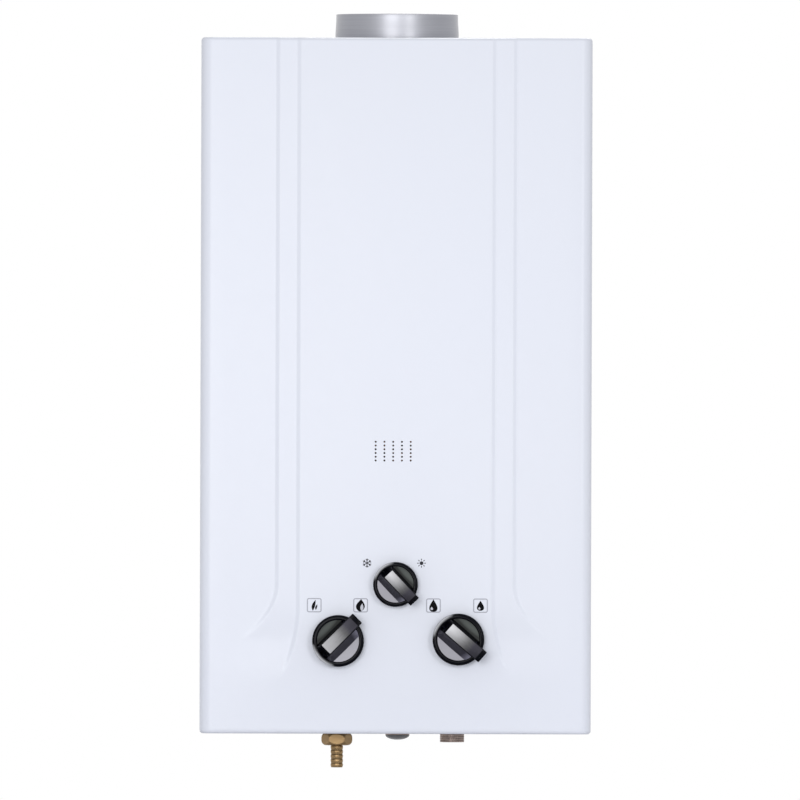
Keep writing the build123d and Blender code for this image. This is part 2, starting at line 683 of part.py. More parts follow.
def fin_block():
    """Copper fins brazed on three tubes that pass through the chamber's sides."""
    reach = CHAMBER_HALF + TUBE_STICKOUT
    inner = CHAMBER_HALF - CHAMBER_CORNER
    front = CHAMBER_FRONT + SHEET + FIN_GAP
    rear = CHAMBER_REAR - SHEET - FIN_GAP
    block = Part() + [bar_x(TUBE_DIAMETER, -reach, reach, y, TUBE_Z) for y in exchanger_tube_places()]
    pitch = (2 * inner - FIN_SHEET) / (FIN_COUNT - 1)
    foot = TUBE_Z - FIN_HEIGHT / 2
    lefts = [pitch * index - inner for index in range(FIN_COUNT)]
    return block + [span(x, x + FIN_SHEET, front, rear, foot, foot + FIN_HEIGHT) for x in lefts]


def return_bend(x, y):
    """Half-round bend from one tube to the next, bulging away from the chamber."""
    section = Plane(origin=(x, y + TUBE_PITCH / 2, TUBE_Z), z_dir=(1, 0, 0)) * Circle(TUBE_DIAMETER / 2)
    axis = Axis((x, y, TUBE_Z), (0, 0, 1 if x < 0 else -1))
    return revolve(section, axis, 180)


def return_bends():
    """Bends that join the three tubes into one path."""
    reach = CHAMBER_HALF + TUBE_STICKOUT
    middle = TUBE_PITCH / 2
    return [return_bend(-reach, CHAMBER_MID + middle), return_bend(reach, CHAMBER_MID - middle)]


def water_coil():
    """Tube that climbs twice round the chamber and then feeds the rear fin tube."""
    side = CHAMBER_HALF + COIL_OUT
    front = CHAMBER_FRONT - COIL_OUT
    rear = CHAMBER_REAR + COIL_OUT
    rise = TUBE_Z - CHAMBER_Z
    first = CHAMBER_Z + COIL_FIRST_SHARE * rise
    second = CHAMBER_Z + COIL_SECOND_SHARE * rise
    riser = side + RISER_OUT
    tube_rear = exchanger_tube_places()[0]
    coil = [(side, VALVE_Y, COIL_START_Z), (side, VALVE_Y, first), (side, front, first)]
    coil += [(-side, front, first), (-side, rear, first), (side, rear, first), (side, front, second)]
    coil += [(-side, front, second), (-side, rear, second)]
    end = [(riser, rear, second), (riser, rear, TUBE_Z), (riser, tube_rear, TUBE_Z)]
    end.append((CHAMBER_HALF + TUBE_STICKOUT, tube_rear, TUBE_Z))
    bends = [COIL_BEND] * (len(coil) - 1) + [RISER_BEND] * (len(end) - 1)
    return pipe(coil + end, bends)


def cold_pipe():
    """Tube from the water valve up to the coil."""
    side = CHAMBER_HALF + COIL_OUT
    start = WATER_KNOB_X + WATER_OUTLET_OFFSET
    rise = VALVE_Z + WATER_OUTLET_RISE
    level = rise + 2 * TUBE_DIAMETER
    points = [(start, VALVE_Y, rise), (start, VALVE_Y, level), (side, VALVE_Y, level)]
    return pipe(points + [(side, VALVE_Y, COIL_START_Z)], COIL_BEND)


def hot_pipe():
    """Tube from the front fin tube down the left side to the hot outlet."""
    left = -(CHAMBER_HALF + COIL_OUT + RISER_OUT)
    tube_front = exchanger_tube_places()[2]
    level = FOOT + HOT_PIPE_LEVEL
    points = [(-(CHAMBER_HALF + TUBE_STICKOUT), tube_front, TUBE_Z), (left, tube_front, TUBE_Z)]
    points += [(left, tube_front, level), (left, -HOT_SETBACK, level), (HOT_X, -HOT_SETBACK, level)]
    return pipe(points + [(HOT_X, -HOT_SETBACK, PLATE_TOP + STUB_FLANGE_THICK + HOT_SOCKET)], RISER_BEND)


def blade_outline():
    """Side view of one burner blade: ridge above, venturi below, joined at the rear."""
    throat = VENTURI_HEIGHT / 2
    web = BLADE_REAR - BLADE_SHOULDER
    points = [(BLADE_FRONT, BLADE_TOP), (BLADE_REAR, BLADE_TOP), (BLADE_REAR, RIDGE_FOOT), (web, RIDGE_FOOT)]
    low, high = VENTURI_Z - throat, VENTURI_Z + throat
    points += [(web, low), (BLADE_INLET, low), (BLADE_INLET, high), (web - BLADE_WEB, high)]
    points += [(web - BLADE_WEB, RIDGE_FOOT), (BLADE_FRONT, RIDGE_FOOT)]
    return points


def blade_columns():
    """Places of the burner blades across the frame."""
    room = 2 * (CHAMBER_HALF - SHEET) - BLADE_THICK
    count = int(room // BLADE_PITCH)
    return [BLADE_PITCH * (index - (count - 1) / 2) for index in range(count)]


def burner_blades():
    """Row of pressed burner blades."""
    face = make_face(Polyline(*[(0, y, z) for y, z in blade_outline()], close=True))
    lower = [vertex for vertex in face.vertices() if vertex.Z < RIDGE_FOOT - SHEET]
    bends = [vertex for vertex in lower if vertex.Y > BLADE_INLET + SHEET]
    blade = extrude(fillet(bends, BLADE_CORNER), amount=BLADE_THICK / 2, both=True, dir=(1, 0, 0))
    return [Pos(x, 0, 0) * blade for x in blade_columns()]


def burner_frame():
    """Sheet frame under the chamber, with lips that carry the blades' ridges."""
    frame = chamber_block(0.0, FRAME_FOOT, CHAMBER_Z) - chamber_block(SHEET, RIDGE_FOOT, CHAMBER_Z)
    inner = CHAMBER_HALF - CHAMBER_CORNER
    lip = BLADE_SHOULDER + SEAT_GAP
    front = CHAMBER_FRONT + FRAME_LIP
    return frame - span(-inner, inner, front, BLADE_REAR - lip + 2 * SEAT_GAP, FRAME_FOOT, RIDGE_FOOT)


def gas_manifold():
    """Bar across the front of the burner that feeds the injectors."""
    half = CHAMBER_HALF - SHEET
    size = MANIFOLD_SIZE / 2
    bar = span(-half, half, MANIFOLD_Y - size, MANIFOLD_Y + size, VENTURI_Z - size, VENTURI_Z + size)
    return fillet(bar.edges().filter_by(Axis.X), MANIFOLD_ROUND)


def gas_injectors():
    """Small brass jets, one for each blade."""
    jets = []
    shoulder = MANIFOLD_REAR + INJECTOR_LENGTH - INJECTOR_TIP
    for x in blade_columns():
        body = bar_y(INJECTOR_DIAMETER, MANIFOLD_REAR, shoulder, x, VENTURI_Z)
        tip = Pos(x, shoulder + INJECTOR_TIP / 2, VENTURI_Z) * Rot(-90, 0, 0)
        jets.append(body + tip * Cone(INJECTOR_DIAMETER / 2, INJECTOR_DIAMETER / 4, INJECTOR_TIP))
    return jets


def electrode_places():
    """Places of the spark electrode and the flame sensing rod along the burner's front."""
    y = CHAMBER_FRONT - ELECTRODE_PLATE / 2
    return [(VIEW_X + offset, y) for offset in (-ELECTRODE_SPACING / 2, ELECTRODE_SPACING / 2)]


def electrode_bracket():
    """Angle on the burner frame that carries both electrodes."""
    half = ELECTRODE_SPACING / 2 + INSULATOR_DIAMETER
    left, right = VIEW_X - half, VIEW_X + half
    shelf = span(left, right, CHAMBER_FRONT - ELECTRODE_PLATE, CHAMBER_FRONT, FRAME_FOOT, FRAME_FOOT + SHEET)
    shelf += span(left, right, CHAMBER_FRONT - SHEET, CHAMBER_FRONT, FRAME_FOOT, CHAMBER_Z)
    for x, y in electrode_places():
        shelf -= bar_z(INSULATOR_DIAMETER + 2 * ELECTRODE_FIT, FRAME_FOOT, FRAME_FOOT + 2 * SHEET, x, y)
    return shelf


def electrode_insulators():
    """Ceramic sleeves with a collar that rests on the bracket."""
    radius = INSULATOR_DIAMETER / 2
    bore = ELECTRODE_WIRE / 2 + ELECTRODE_FIT
    seat = FRAME_FOOT + SHEET
    foot, head = seat - INSULATOR_LENGTH / 2, seat + INSULATOR_LENGTH / 2
    outline = [(bore, foot), (radius, foot), (radius, seat), (radius + SHEET, seat)]
    outline += [(radius + SHEET, seat + 2 * SHEET), (radius, seat + 2 * SHEET), (radius, head), (bore, head)]
    return [turned(outline, x, y) for x, y in electrode_places()]


def electrode_rods():
    """Bent wires that reach from the insulators to the view hole."""
    rods = []
    foot = FRAME_FOOT + SHEET - INSULATOR_LENGTH / 2 - ELECTRODE_WIRE
    level = VIEW_Z
    for x, y in electrode_places():
        inward = math.copysign(ELECTRODE_REACH, VIEW_X - x)
        path = FilletPolyline((x, y, foot), (x, y, level), (x + inward, y, level), radius=ELECTRODE_BEND)
        section = Plane(origin=path @ 0, z_dir=path % 0) * Circle(ELECTRODE_WIRE / 2)
        rods.append(sweep(section, path=path))
    return rods


def spindle_bore(x, z):
    """Blind bore for a spindle in the front boss of a valve."""
    return bar_y(SPINDLE_DIAMETER + 2 * SPINDLE_FIT, BOSS_FRONT, BOSS_FRONT + SPINDLE_SEAT, x, z)


def outlet_flange(x, z0, z1):
    """Square flange on a round neck between the gas valve and the season valve."""
    half = OUTLET_FLANGE / 2
    return span(x - half, x + half, VALVE_Y - half, VALVE_Y + half, z0, z1)


def gas_valve_body():
    """Cast gas valve: barrel, inlet below, outlet flange above, spindle boss and rear pad."""
    body = bar_x(GAS_BARREL_DIAMETER, GAS_LEFT, GAS_RIGHT, VALVE_Y, VALVE_Z)
    body += bar_x(GAS_FLANGE_DIAMETER, GAS_RIGHT - GAS_FLANGE, GAS_RIGHT, VALVE_Y, VALVE_Z)
    body += bar_y(BOSS_DIAMETER, VALVE_Y, BOSS_FRONT, GAS_KNOB_X, GAS_KNOB_Z)
    body += bar_z(PORT_DIAMETER, PORT_Z, VALVE_Z, GAS_X, VALVE_Y)
    body += bar_z(OUTLET_NECK_DIAMETER, VALVE_Z, OUTLET_Z, GAS_X, VALVE_Y)
    body += outlet_flange(GAS_X, OUTLET_Z - GAS_FLANGE, OUTLET_Z)
    body += bar_y(PAD_DIAMETER, VALVE_Y, PAD_Y, GAS_KNOB_X, VALVE_Z)
    arm_rear = VALVE_Y + TRIP_DIAMETER
    arm_top = VALVE_Z + TRIP_DIAMETER / 2 + SWITCH_LIFT + SWITCH_HEIGHT
    body += span(GAS_RIGHT, GAS_RIGHT + SWITCH_ARM, arm_rear - SWITCH_ARM_THICK, arm_rear, VALVE_Z, arm_top)
    body -= spindle_bore(GAS_KNOB_X, GAS_KNOB_Z)
    depth = ROD_GRIP + ROD_TRAVEL + ROD_END_ROOM
    return body - bar_x(ROD_DIAMETER + 2 * ROD_FIT, GAS_RIGHT - depth, GAS_RIGHT, VALVE_Y, VALVE_Z)


def gas_solenoid():
    """Safety solenoid with its yoke on the left end of the gas valve."""
    left = GAS_LEFT - SOLENOID_LENGTH
    half = SOLENOID_DIAMETER / 2 + SOLENOID_GAP + SOLENOID_YOKE
    coil = bar_x(SOLENOID_DIAMETER, left, GAS_LEFT, VALVE_Y, VALVE_Z)
    front, rear = VALVE_Y - half, VALVE_Y + half
    window = half - SOLENOID_YOKE
    yoke = span(left - SOLENOID_YOKE, GAS_LEFT, front, rear, VALVE_Z - half, VALVE_Z + half)
    yoke -= span(left, GAS_LEFT, front, rear, VALVE_Z - window, VALVE_Z + window)
    return yoke + coil


def season_valve_body():
    """Cast selector valve that shuts half of the burner off, with its duct to the manifold."""
    z = SEASON_KNOB_Z
    body = bar_x(SEASON_BARREL_DIAMETER, GAS_X - SEASON_TAIL, SEASON_KNOB_X + SEASON_NOSE, VALVE_Y, z)
    body += bar_z(OUTLET_NECK_DIAMETER, OUTLET_Z, z, GAS_X, VALVE_Y)
    body += outlet_flange(GAS_X, OUTLET_Z, OUTLET_Z + GAS_FLANGE)
    body += bar_y(BOSS_DIAMETER, VALVE_Y, BOSS_FRONT, SEASON_KNOB_X, z)
    body += bar_y(DUCT_DIAMETER, VALVE_Y, MANIFOLD_Y - DUCT_DIAMETER / 2, DUCT_X, z)
    body += bar_z(DUCT_DIAMETER, z, VENTURI_Z - MANIFOLD_SIZE / 2, DUCT_X, MANIFOLD_Y)
    return body - spindle_bore(SEASON_KNOB_X, z)


def housing_screw_places():
    """Screw circle of the diaphragm housing, around the valve axis."""
    places = PolarLocations(HOUSING_SCREW_RING / 2, HOUSING_SCREWS)
    return [(VALVE_Y + place.position.X, VALVE_Z + place.position.Y) for place in places]


def housing_screw_holes(x0, x1):
    """Clearance holes for the housing screws."""
    diameter = HOUSING_SCREW_DIAMETER + 2 * SCREW_GAP
    return [bar_x(diameter, x0, x1, y, z) for y, z in housing_screw_places()]


def water_valve_body():
    """Cast water valve: housing half, barrel, inlet below, outlet above, spindle boss and rear pad."""
    outlet_x = WATER_KNOB_X + WATER_OUTLET_OFFSET
    body = bar_x(HOUSING_DIAMETER, HOUSING_RIGHT, HOUSING_RIGHT + HOUSING_HALF, VALVE_Y, VALVE_Z)
    body += bar_x(WATER_BARREL_DIAMETER, HOUSING_RIGHT, WATER_KNOB_X + WATER_TAIL, VALVE_Y, VALVE_Z)
    body += bar_y(BOSS_DIAMETER, VALVE_Y, BOSS_FRONT, WATER_KNOB_X, WATER_KNOB_Z)
    body += bar_z(PORT_DIAMETER, PORT_Z, VALVE_Z, COLD_X, VALVE_Y)
    body += bar_z(WATER_OUTLET_DIAMETER, VALVE_Z, VALVE_Z + WATER_OUTLET_RISE, outlet_x, VALVE_Y)
    body += bar_y(PAD_DIAMETER, VALVE_Y, PAD_Y, WATER_KNOB_X, VALVE_Z)
    body -= housing_screw_holes(HOUSING_RIGHT, HOUSING_RIGHT + HOUSING_SCREW_BITE + SEAT_GAP)
    return body - spindle_bore(WATER_KNOB_X, WATER_KNOB_Z)


def water_valve_cover():
    """Other half of the diaphragm housing, with a nose that guides the push rod."""
    left = HOUSING_LEFT - HOUSING_HALF
    cover = bar_x(HOUSING_DIAMETER, left, HOUSING_LEFT, VALVE_Y, VALVE_Z)
    cover += bar_x(NOSE_DIAMETER, NOSE_LEFT, left, VALVE_Y, VALVE_Z)
    cover -= bar_x(CAVITY_DIAMETER, HOUSING_LEFT - CAVITY_DEPTH, HOUSING_LEFT, VALVE_Y, VALVE_Z)
    cover -= bar_x(ROD_DIAMETER + 2 * ROD_FIT, NOSE_LEFT, HOUSING_LEFT, VALVE_Y, VALVE_Z)
    return cover - housing_screw_holes(left, HOUSING_LEFT)


def diaphragm():
    """Rubber disc clamped between the housing halves."""
    disc = bar_x(HOUSING_DIAMETER, HOUSING_LEFT, HOUSING_RIGHT, VALVE_Y, VALVE_Z)
    return disc - housing_screw_holes(HOUSING_LEFT, HOUSING_RIGHT)


def housing_screws():
    """Screws round the diaphragm housing."""
    head_right = HOUSING_LEFT - HOUSING_HALF
    screws = []
    for y, z in housing_screw_places():
        shank = bar_x(HOUSING_SCREW_DIAMETER, head_right, HOUSING_RIGHT + HOUSING_SCREW_BITE, y, z)
        screws.append(shank + bar_x(HOUSING_SCREW_HEAD, head_right - HOUSING_HEAD_HEIGHT, head_right, y, z))
    return screws


def diaphragm_plate():
    """Disc that the diaphragm pushes."""
    right = HOUSING_LEFT - SEAT_GAP
    return bar_x(PLATE_DIAMETER, right - PLATE_THICK, right, VALVE_Y, VALVE_Z)


def push_rod():
    """Rod from the diaphragm plate to the gas valve, with the collar that trips the switch."""
    right = HOUSING_LEFT - SEAT_GAP - PLATE_THICK
    trip = NOSE_LEFT - TRIP_FROM_NOSE
    rod = bar_x(ROD_DIAMETER, GAS_RIGHT - ROD_GRIP, right, VALVE_Y, VALVE_Z)
    return rod + bar_x(TRIP_DIAMETER, trip - TRIP_WIDTH, trip, VALVE_Y, VALVE_Z)


def micro_switch():
    """Snap switch above the push rod, on the gas valve's arm."""
    trip = NOSE_LEFT - TRIP_FROM_NOSE - TRIP_WIDTH / 2
    foot = VALVE_Z + TRIP_DIAMETER / 2 + SWITCH_LIFT
    rear = VALVE_Y + TRIP_DIAMETER - SWITCH_ARM_THICK
    left = GAS_RIGHT + SWITCH_ARM - SWITCH_LENGTH
    body = span(left, left + SWITCH_LENGTH, rear - SWITCH_DEPTH, rear, foot, foot + SWITCH_HEIGHT)
    tip = VALVE_Z + TRIP_DIAMETER / 2 + SWITCH_TRIP_GAP
    return body + bar_z(SWITCH_PIN, tip, foot + SWITCH_PIN, trip, rear - SWITCH_DEPTH / 2)


def spindle(x, z, angle):
    """Control spindle with a flat that drives its knob."""
    inner = BOSS_FRONT + SPINDLE_SEAT - SPINDLE_END_ROOM
    tip = KNOB_BACK - SPINDLE_GRIP
    shaft = bar_y(SPINDLE_DIAMETER, inner, tip, 0, 0)
    flat = SPINDLE_DIAMETER / 2 - SPINDLE_FLAT
    shaft -= span(-SPINDLE_DIAMETER, SPINDLE_DIAMETER, tip, KNOB_BACK, flat, SPINDLE_DIAMETER)
    return Pos(x, 0, z) * Rot(0, -angle, 0) * shaft


def gland_nuts():
    """Hexagon gland nuts that hold the spindles in the valve bosses."""
    hexagon = RegularPolygon(GLAND_FLATS / 2, 6, major_radius=False)
    nut = Rot(90, 0, 0) * extrude(hexagon - Circle(SPINDLE_DIAMETER / 2 + SPINDLE_FIT), amount=GLAND_LENGTH)
    return [Pos(x, BOSS_FRONT, z) * nut for x, z, _ in knob_places().values()]


def knob_skirt(diameter):
    """Round skirt of a knob about Z, with a rounded rim, a shallow dish and a hollow back."""
    radius = diameter / 2
    floor = KNOB_SKIRT - KNOB_DISH
    wall, dish = radius - KNOB_WALL, radius - KNOB_RIM
    outline = [(0, KNOB_HOLLOW), (wall, KNOB_HOLLOW), (wall, 0), (radius, 0), (radius, KNOB_SKIRT)]
    outline += [(dish, KNOB_SKIRT), (dish - KNOB_DISH, floor), (0, floor)]
    face = make_face(Polyline(*[(r, 0, h) for r, h in outline], close=True))
    rim = [vertex for vertex in face.vertices() if vertex.X > radius - SHEET and vertex.Z > KNOB_HOLLOW]
    return revolve(fillet(rim, KNOB_ROUND), Axis.Z)


def rectangle_at(x0, x1, y0, y1, z):
    """Level rectangle between two opposite corners."""
    return (Pos((x0 + x1) / 2, (y0 + y1) / 2, z) * Rectangle(x1 - x0, y1 - y0)).face()


def knob_bar(diameter):
    """Pointer bar of a knob along +X, off centre, with a steep left flank and a broad right one."""
    share = diameter / KNOB_DIAMETER
    dish = diameter / 2 - KNOB_RIM
    tail, reach = -KNOB_BAR_TAIL * share, KNOB_REACH * share
    left = (KNOB_BAR_SHIFT + KNOB_BAR / 2) * share
    right = (KNOB_BAR_SHIFT - KNOB_BAR / 2) * share
    foot_z = KNOB_SKIRT - 2 * KNOB_DISH
    bar = span(tail, reach, right, left, foot_z, KNOB_RISE)
    bar = fillet(bar.faces().sort_by(Axis.Z)[-1].edges(), BAR_ROUND)
    foot = rectangle_at(-dish, dish, right - BAR_FLANK_RIGHT * share, left + BAR_FLANK_LEFT * share, foot_z)
    crest = rectangle_at(tail + BAR_SEAM, dish, right + BAR_SEAM, left - BAR_SEAM, KNOB_RISE - 2 * BAR_ROUND)
    flanks = loft([foot, crest], ruled=True)
    return bar + (flanks & Pos(0, 0, KNOB_RISE / 2) * Cylinder(dish, KNOB_RISE))


def knob(diameter):
    """Knob about Z: skirt, pointer bar and a hub with a flatted bore."""
    body = knob_skirt(diameter) + knob_bar(diameter)
    body += Pos(0, 0, KNOB_HOLLOW / 2) * Cylinder(KNOB_HUB_DIAMETER / 2, KNOB_HOLLOW)
    depth = SPINDLE_GRIP + KNOB_BORE_FIT
    bore = Pos(0, 0, depth / 2) * Cylinder(SPINDLE_DIAMETER / 2 + KNOB_BORE_FIT, depth)
    flat = SPINDLE_DIAMETER / 2 - SPINDLE_FLAT + KNOB_BORE_FIT
    bore -= span(-SPINDLE_DIAMETER, SPINDLE_DIAMETER, flat, SPINDLE_DIAMETER, 0, depth)
    return body - bore


def knob_at(body, x, z, angle):
    """Knob turned to face the front and point at angle."""
    return Pos(x, KNOB_BACK, z) * Rot(90, 0, 0) * Rot(0, 0, angle) * body


def placed_knob(place, diameter):
    """Knob of one control at its place."""
    return knob_at(knob(diameter), *knob_places()[place])


def stub(place, bore, top, foot):
    """Threaded pipe end that rests on the bottom plate by its flange."""
    x, y, thread = stub_places()[place]
    radius = thread / 2
    seat = PLATE_TOP + STUB_FLANGE_THICK
    flange = radius + STUB_FLANGE
    outline = [(bore / 2, foot), (radius - COLLAR_CHAMFER, foot), (radius, foot + COLLAR_CHAMFER)]
    outline += [(radius, PLATE_TOP), (flange, PLATE_TOP), (flange, seat), (radius, seat), (radius, top)]
    return turned(outline + [(bore / 2, top)], x, y)


def gas_inlet_stub():
    """Gas connection between the valve and the union nut."""
    return stub("gas", GAS_BORE_DIAMETER, PORT_Z, barb_seat() + WASHER_THICK)


def cold_inlet_stub():
    """Cold water connection below the water valve."""
    return stub("cold", WATER_BORE_DIAMETER, PORT_Z, FOOT - COLD_REACH)


def hot_outlet_stub():
    """Hot water connection at the end of the hot pipe."""
    top = PLATE_TOP + STUB_FLANGE_THICK + HOT_SOCKET
    return stub("hot", WATER_BORE_DIAMETER, top, FOOT - HOT_REACH)


def inlet_filter():
    """Filter disc in the cold inlet."""
    foot = FOOT - COLD_REACH + FILTER_DEPTH
    diameter = WATER_BORE_DIAMETER - 2 * FILTER_FIT
    disc = bar_z(diameter, foot, foot + FILTER_THICK, COLD_X, VALVE_Y)
    dome = turned([(0, foot - FILTER_THICK), (diameter / 4, foot), (0, foot)], COLD_X, VALVE_Y)
    return disc + dome


def outlet_plug():
    """Domed plug in the hot outlet."""
    seat = FOOT - HOT_REACH
    radius = PLUG_HEAD_DIAMETER / 2
    ball = (radius**2 + PLUG_DOME**2) / (2 * PLUG_DOME)
    dome = Pos(HOT_X, -HOT_SETBACK, seat - PLUG_DOME + ball) * Sphere(ball)
    dome &= bar_z(2 * PLUG_HEAD_DIAMETER, seat - 2 * PLUG_DOME, seat, HOT_X, -HOT_SETBACK)
    return dome + bar_z(WATER_BORE_DIAMETER - 2 * PLUG_FIT, seat, seat + PLUG_LENGTH, HOT_X, -HOT_SETBACK)


def barb_seat():
    """Level of the hose tail's collar face inside the union nut."""
    return FOOT - NUT_REACH + NUT_LIP + BARB_COLLAR


def gas_seal_washer():
    """Flat washer between the gas connection and the hose tail."""
    ring = Circle(GAS_THREAD_DIAMETER / 2 - COLLAR_CHAMFER) - Circle(GAS_BORE_DIAMETER / 2)
    return Pos(GAS_X, VALVE_Y, barb_seat()) * extrude(ring, amount=WASHER_THICK)


def gas_union_nut():
    """Hexagon union nut over the gas connection, its corners turned round, one flat facing the front."""
    foot = FOOT - NUT_REACH
    hexagon = RegularPolygon(NUT_FLATS / 2, 6, major_radius=False)
    nut = Pos(GAS_X, VALVE_Y, foot) * extrude(hexagon, amount=NUT_LENGTH)
    corner = NUT_FLATS / math.sqrt(3)
    top = foot + NUT_LENGTH
    trim = make_face(Polyline((0, 0, foot), (corner, 0, foot), (corner, 0, top), (0, 0, top), close=True))
    trim = fillet(trim.vertices().sort_by(Axis.X)[-2:], NUT_ROUND)
    nut &= Pos(GAS_X, VALVE_Y, 0) * revolve(trim, Axis.Z)
    nut -= bar_z(GAS_THREAD_DIAMETER + 2 * NUT_FIT, foot + NUT_LIP, top, GAS_X, VALVE_Y)
    return nut - bar_z(BARB_DIAMETER + 2 * NUT_FIT, foot, foot + NUT_LIP, GAS_X, VALVE_Y)


def hose_barb():
    """Hose tail with saw-tooth ribs, held by its collar in the union nut."""
    seat = barb_seat()
    collar_foot = seat - BARB_COLLAR
    neck = FOOT - NUT_REACH
    end = FOOT - BARB_REACH
    pitch = (neck - end) / BARB_RIBS
    crest, root = BARB_DIAMETER / 2, BARB_ROOT / 2
    bore, collar = BARB_BORE / 2, GAS_THREAD_DIAMETER / 2
    outline = [(bore, seat), (collar, seat), (collar, collar_foot)]
    outline += [(crest, collar_foot), (crest, neck)]
    for index in range(BARB_RIBS):
        rib = neck - pitch * index
        outline += [(root, rib), (crest, rib - BARB_RISE), (crest, rib - BARB_RISE - BARB_LAND)]
    outline += [(root, end), (bore, end)]
    return turned(outline, GAS_X, VALVE_Y)


def igniter_box():
    """Moulded pulse igniter on the back plate, with ears and lead sockets."""
    z = FOOT + IGNITER_HEIGHT
    rear, front = -SHEET, -SHEET - IGNITER_DEEP
    half, tall = IGNITER_WIDTH / 2, IGNITER_TALL / 2
    box = span(IGNITER_X - half, IGNITER_X + half, front, rear, z - tall, z + tall)
    box = fillet([edge for edge in box.edges() if edge.center().Y < rear - SHEET], IGNITER_ROUND)
    ear, tab = half + IGNITER_EAR, IGNITER_EAR
    box += span(IGNITER_X - ear, IGNITER_X + ear, rear - IGNITER_EAR_THICK, rear, z - tab, z + tab)
    middle = (front + rear) / 2
    for index in range(IGNITER_PLUGS):
        x = IGNITER_X + (index - (IGNITER_PLUGS - 1) / 2) * 2 * IGNITER_PLUG_DIAMETER
        box += bar_z(IGNITER_PLUG_DIAMETER, z + tall, z + tall + IGNITER_PLUG_LENGTH, x, middle)
    return box


def battery_box():
    """Moulded compartment above the bottom plate, open below, with ears for the lid's pins."""
    top = PLATE_TOP + BOX_INNER_HEIGHT + BOX_WALL
    box = span(BOX_LEFT, BOX_RIGHT, BOX_FRONT, BOX_REAR, PLATE_TOP, top)
    box = fillet([edge for edge in box.edges() if edge.center().Z > PLATE_TOP + SHEET], BOX_ROUND)
    rim = BOX_FLANGE
    flange_top = PLATE_TOP + BOX_FLANGE_THICK
    box += span(BOX_LEFT - rim, BOX_RIGHT + rim, BOX_FRONT - rim, BOX_REAR + rim, PLATE_TOP, flange_top)
    return box - box_inside(PLATE_TOP, PLATE_TOP + BOX_INNER_HEIGHT)


def cell_rows():
    """Axes of the two battery cells, front to back."""
    first = BOX_REAR - BOX_WALL - CELL_ROOM - CELL_DIAMETER / 2
    return [first, first - CELL_DIAMETER - CELL_ROOM]


def battery_cells():
    """Two large round cells, laid opposite ways."""
    z = PLATE_TOP + CELL_ROOM + CELL_DIAMETER / 2
    left = BOX_LEFT + BOX_WALL + CONTACT_THICK
    right = BOX_RIGHT - BOX_WALL - CONTACT_THICK
    rear_y, front_y = cell_rows()
    rear = bar_x(CELL_DIAMETER, left, right - CELL_BUTTON, rear_y, z)
    rear += bar_x(CELL_BUTTON_DIAMETER, right - CELL_BUTTON, right, rear_y, z)
    front = bar_x(CELL_DIAMETER, left + CELL_BUTTON, right, front_y, z)
    return [rear, front + bar_x(CELL_BUTTON_DIAMETER, left, left + CELL_BUTTON, front_y, z)]


def battery_contacts():
    """Contact strips at both ends of the cells."""
    z = PLATE_TOP + CELL_ROOM + CELL_DIAMETER / 2
    half = CELL_DIAMETER / 4
    front, rear = BOX_FRONT + BOX_WALL + CELL_DIAMETER / 4, BOX_REAR - BOX_WALL - CELL_DIAMETER / 4
    strips = []
    for x in (BOX_LEFT + BOX_WALL, BOX_RIGHT - BOX_WALL - CONTACT_THICK):
        strips.append(span(x, x + CONTACT_THICK, front, rear, z - half, z + half))
    return strips


def lid_pin_ends():
    """Left and right ends of the lid's hinge pin, inside the ears' outer faces."""
    return BOX_LEFT + BOX_WALL, BOX_RIGHT - BOX_WALL


def hinge_ears():
    """Pair of ears under the bottom plate that carry the lid's pin."""
    left, right = lid_pin_ends()
    radius = LID_KNUCKLE_DIAMETER / 2
    ears = []
    for x0, x1 in ((left - LID_EAR, left), (right, right + LID_EAR)):
        ear = bar_x(LID_KNUCKLE_DIAMETER, x0, x1, LID_PIN_Y, LID_PIN_Z)
        ear += span(x0, x1, LID_PIN_Y - radius, LID_PIN_Y + radius, LID_PIN_Z, PLATE_TOP - SHEET)
        ears.append(ear - bar_x(LID_PIN_DIAMETER + 2 * LID_PIN_FIT, x0, x1, LID_PIN_Y, LID_PIN_Z))
    return ears


def battery_lid():
    """Door under the batteries: flap, hinge knuckle with its pin ends and a finger edge."""
    left, right = lid_pin_ends()
    flap_top = PLATE_TOP - SHEET - LID_GAP
    flap_front = BOX_FRONT - LID_OVERLAP
    x0, x1 = left + LID_GAP, right - LID_GAP
    lid = span(x0, x1, flap_front, LID_PIN_Y, flap_top - LID_THICK, flap_top)
    lid += bar_x(LID_KNUCKLE_DIAMETER, x0, x1, LID_PIN_Y, LID_PIN_Z)
    lid += bar_x(LID_PIN_DIAMETER, left - LID_EAR, right + LID_EAR, LID_PIN_Y, LID_PIN_Z)
    middle = (left + right) / 2
    grip_y, grip_z = flap_front + LID_FINGER, flap_top - LID_THICK
    grip = bar_x(LID_FINGER, middle - LID_FINGER, middle + LID_FINGER, grip_y, grip_z)
    return lid + (grip & span(x0, x1, flap_front, LID_PIN_Y, FOOT, flap_top))


def overheat_thermostat():
    """Cut-out clipped on the hot pipe by a saddle."""
    x = -(CHAMBER_HALF + COIL_OUT + RISER_OUT)
    y = exchanger_tube_places()[2]
    z = TUBE_Z - THERMOSTAT_DROP
    half = SADDLE_WIDTH / 2
    rear = y + SADDLE_DEPTH
    front = y - TUBE_DIAMETER / 2 - SADDLE_DEPTH / 2
    saddle = span(x - half, x + half, front, rear, z - half, z + half)
    saddle -= bar_z(TUBE_DIAMETER + 2 * COIL_GAP, z - SADDLE_WIDTH, z + SADDLE_WIDTH, x, y)
    throat = TUBE_DIAMETER / 2 + COIL_GAP
    saddle -= span(x - throat, x + throat, y, rear, z - SADDLE_WIDTH, z + SADDLE_WIDTH)
    return saddle + bar_y(THERMOSTAT_DIAMETER, front - THERMOSTAT_LENGTH, front, x, z)


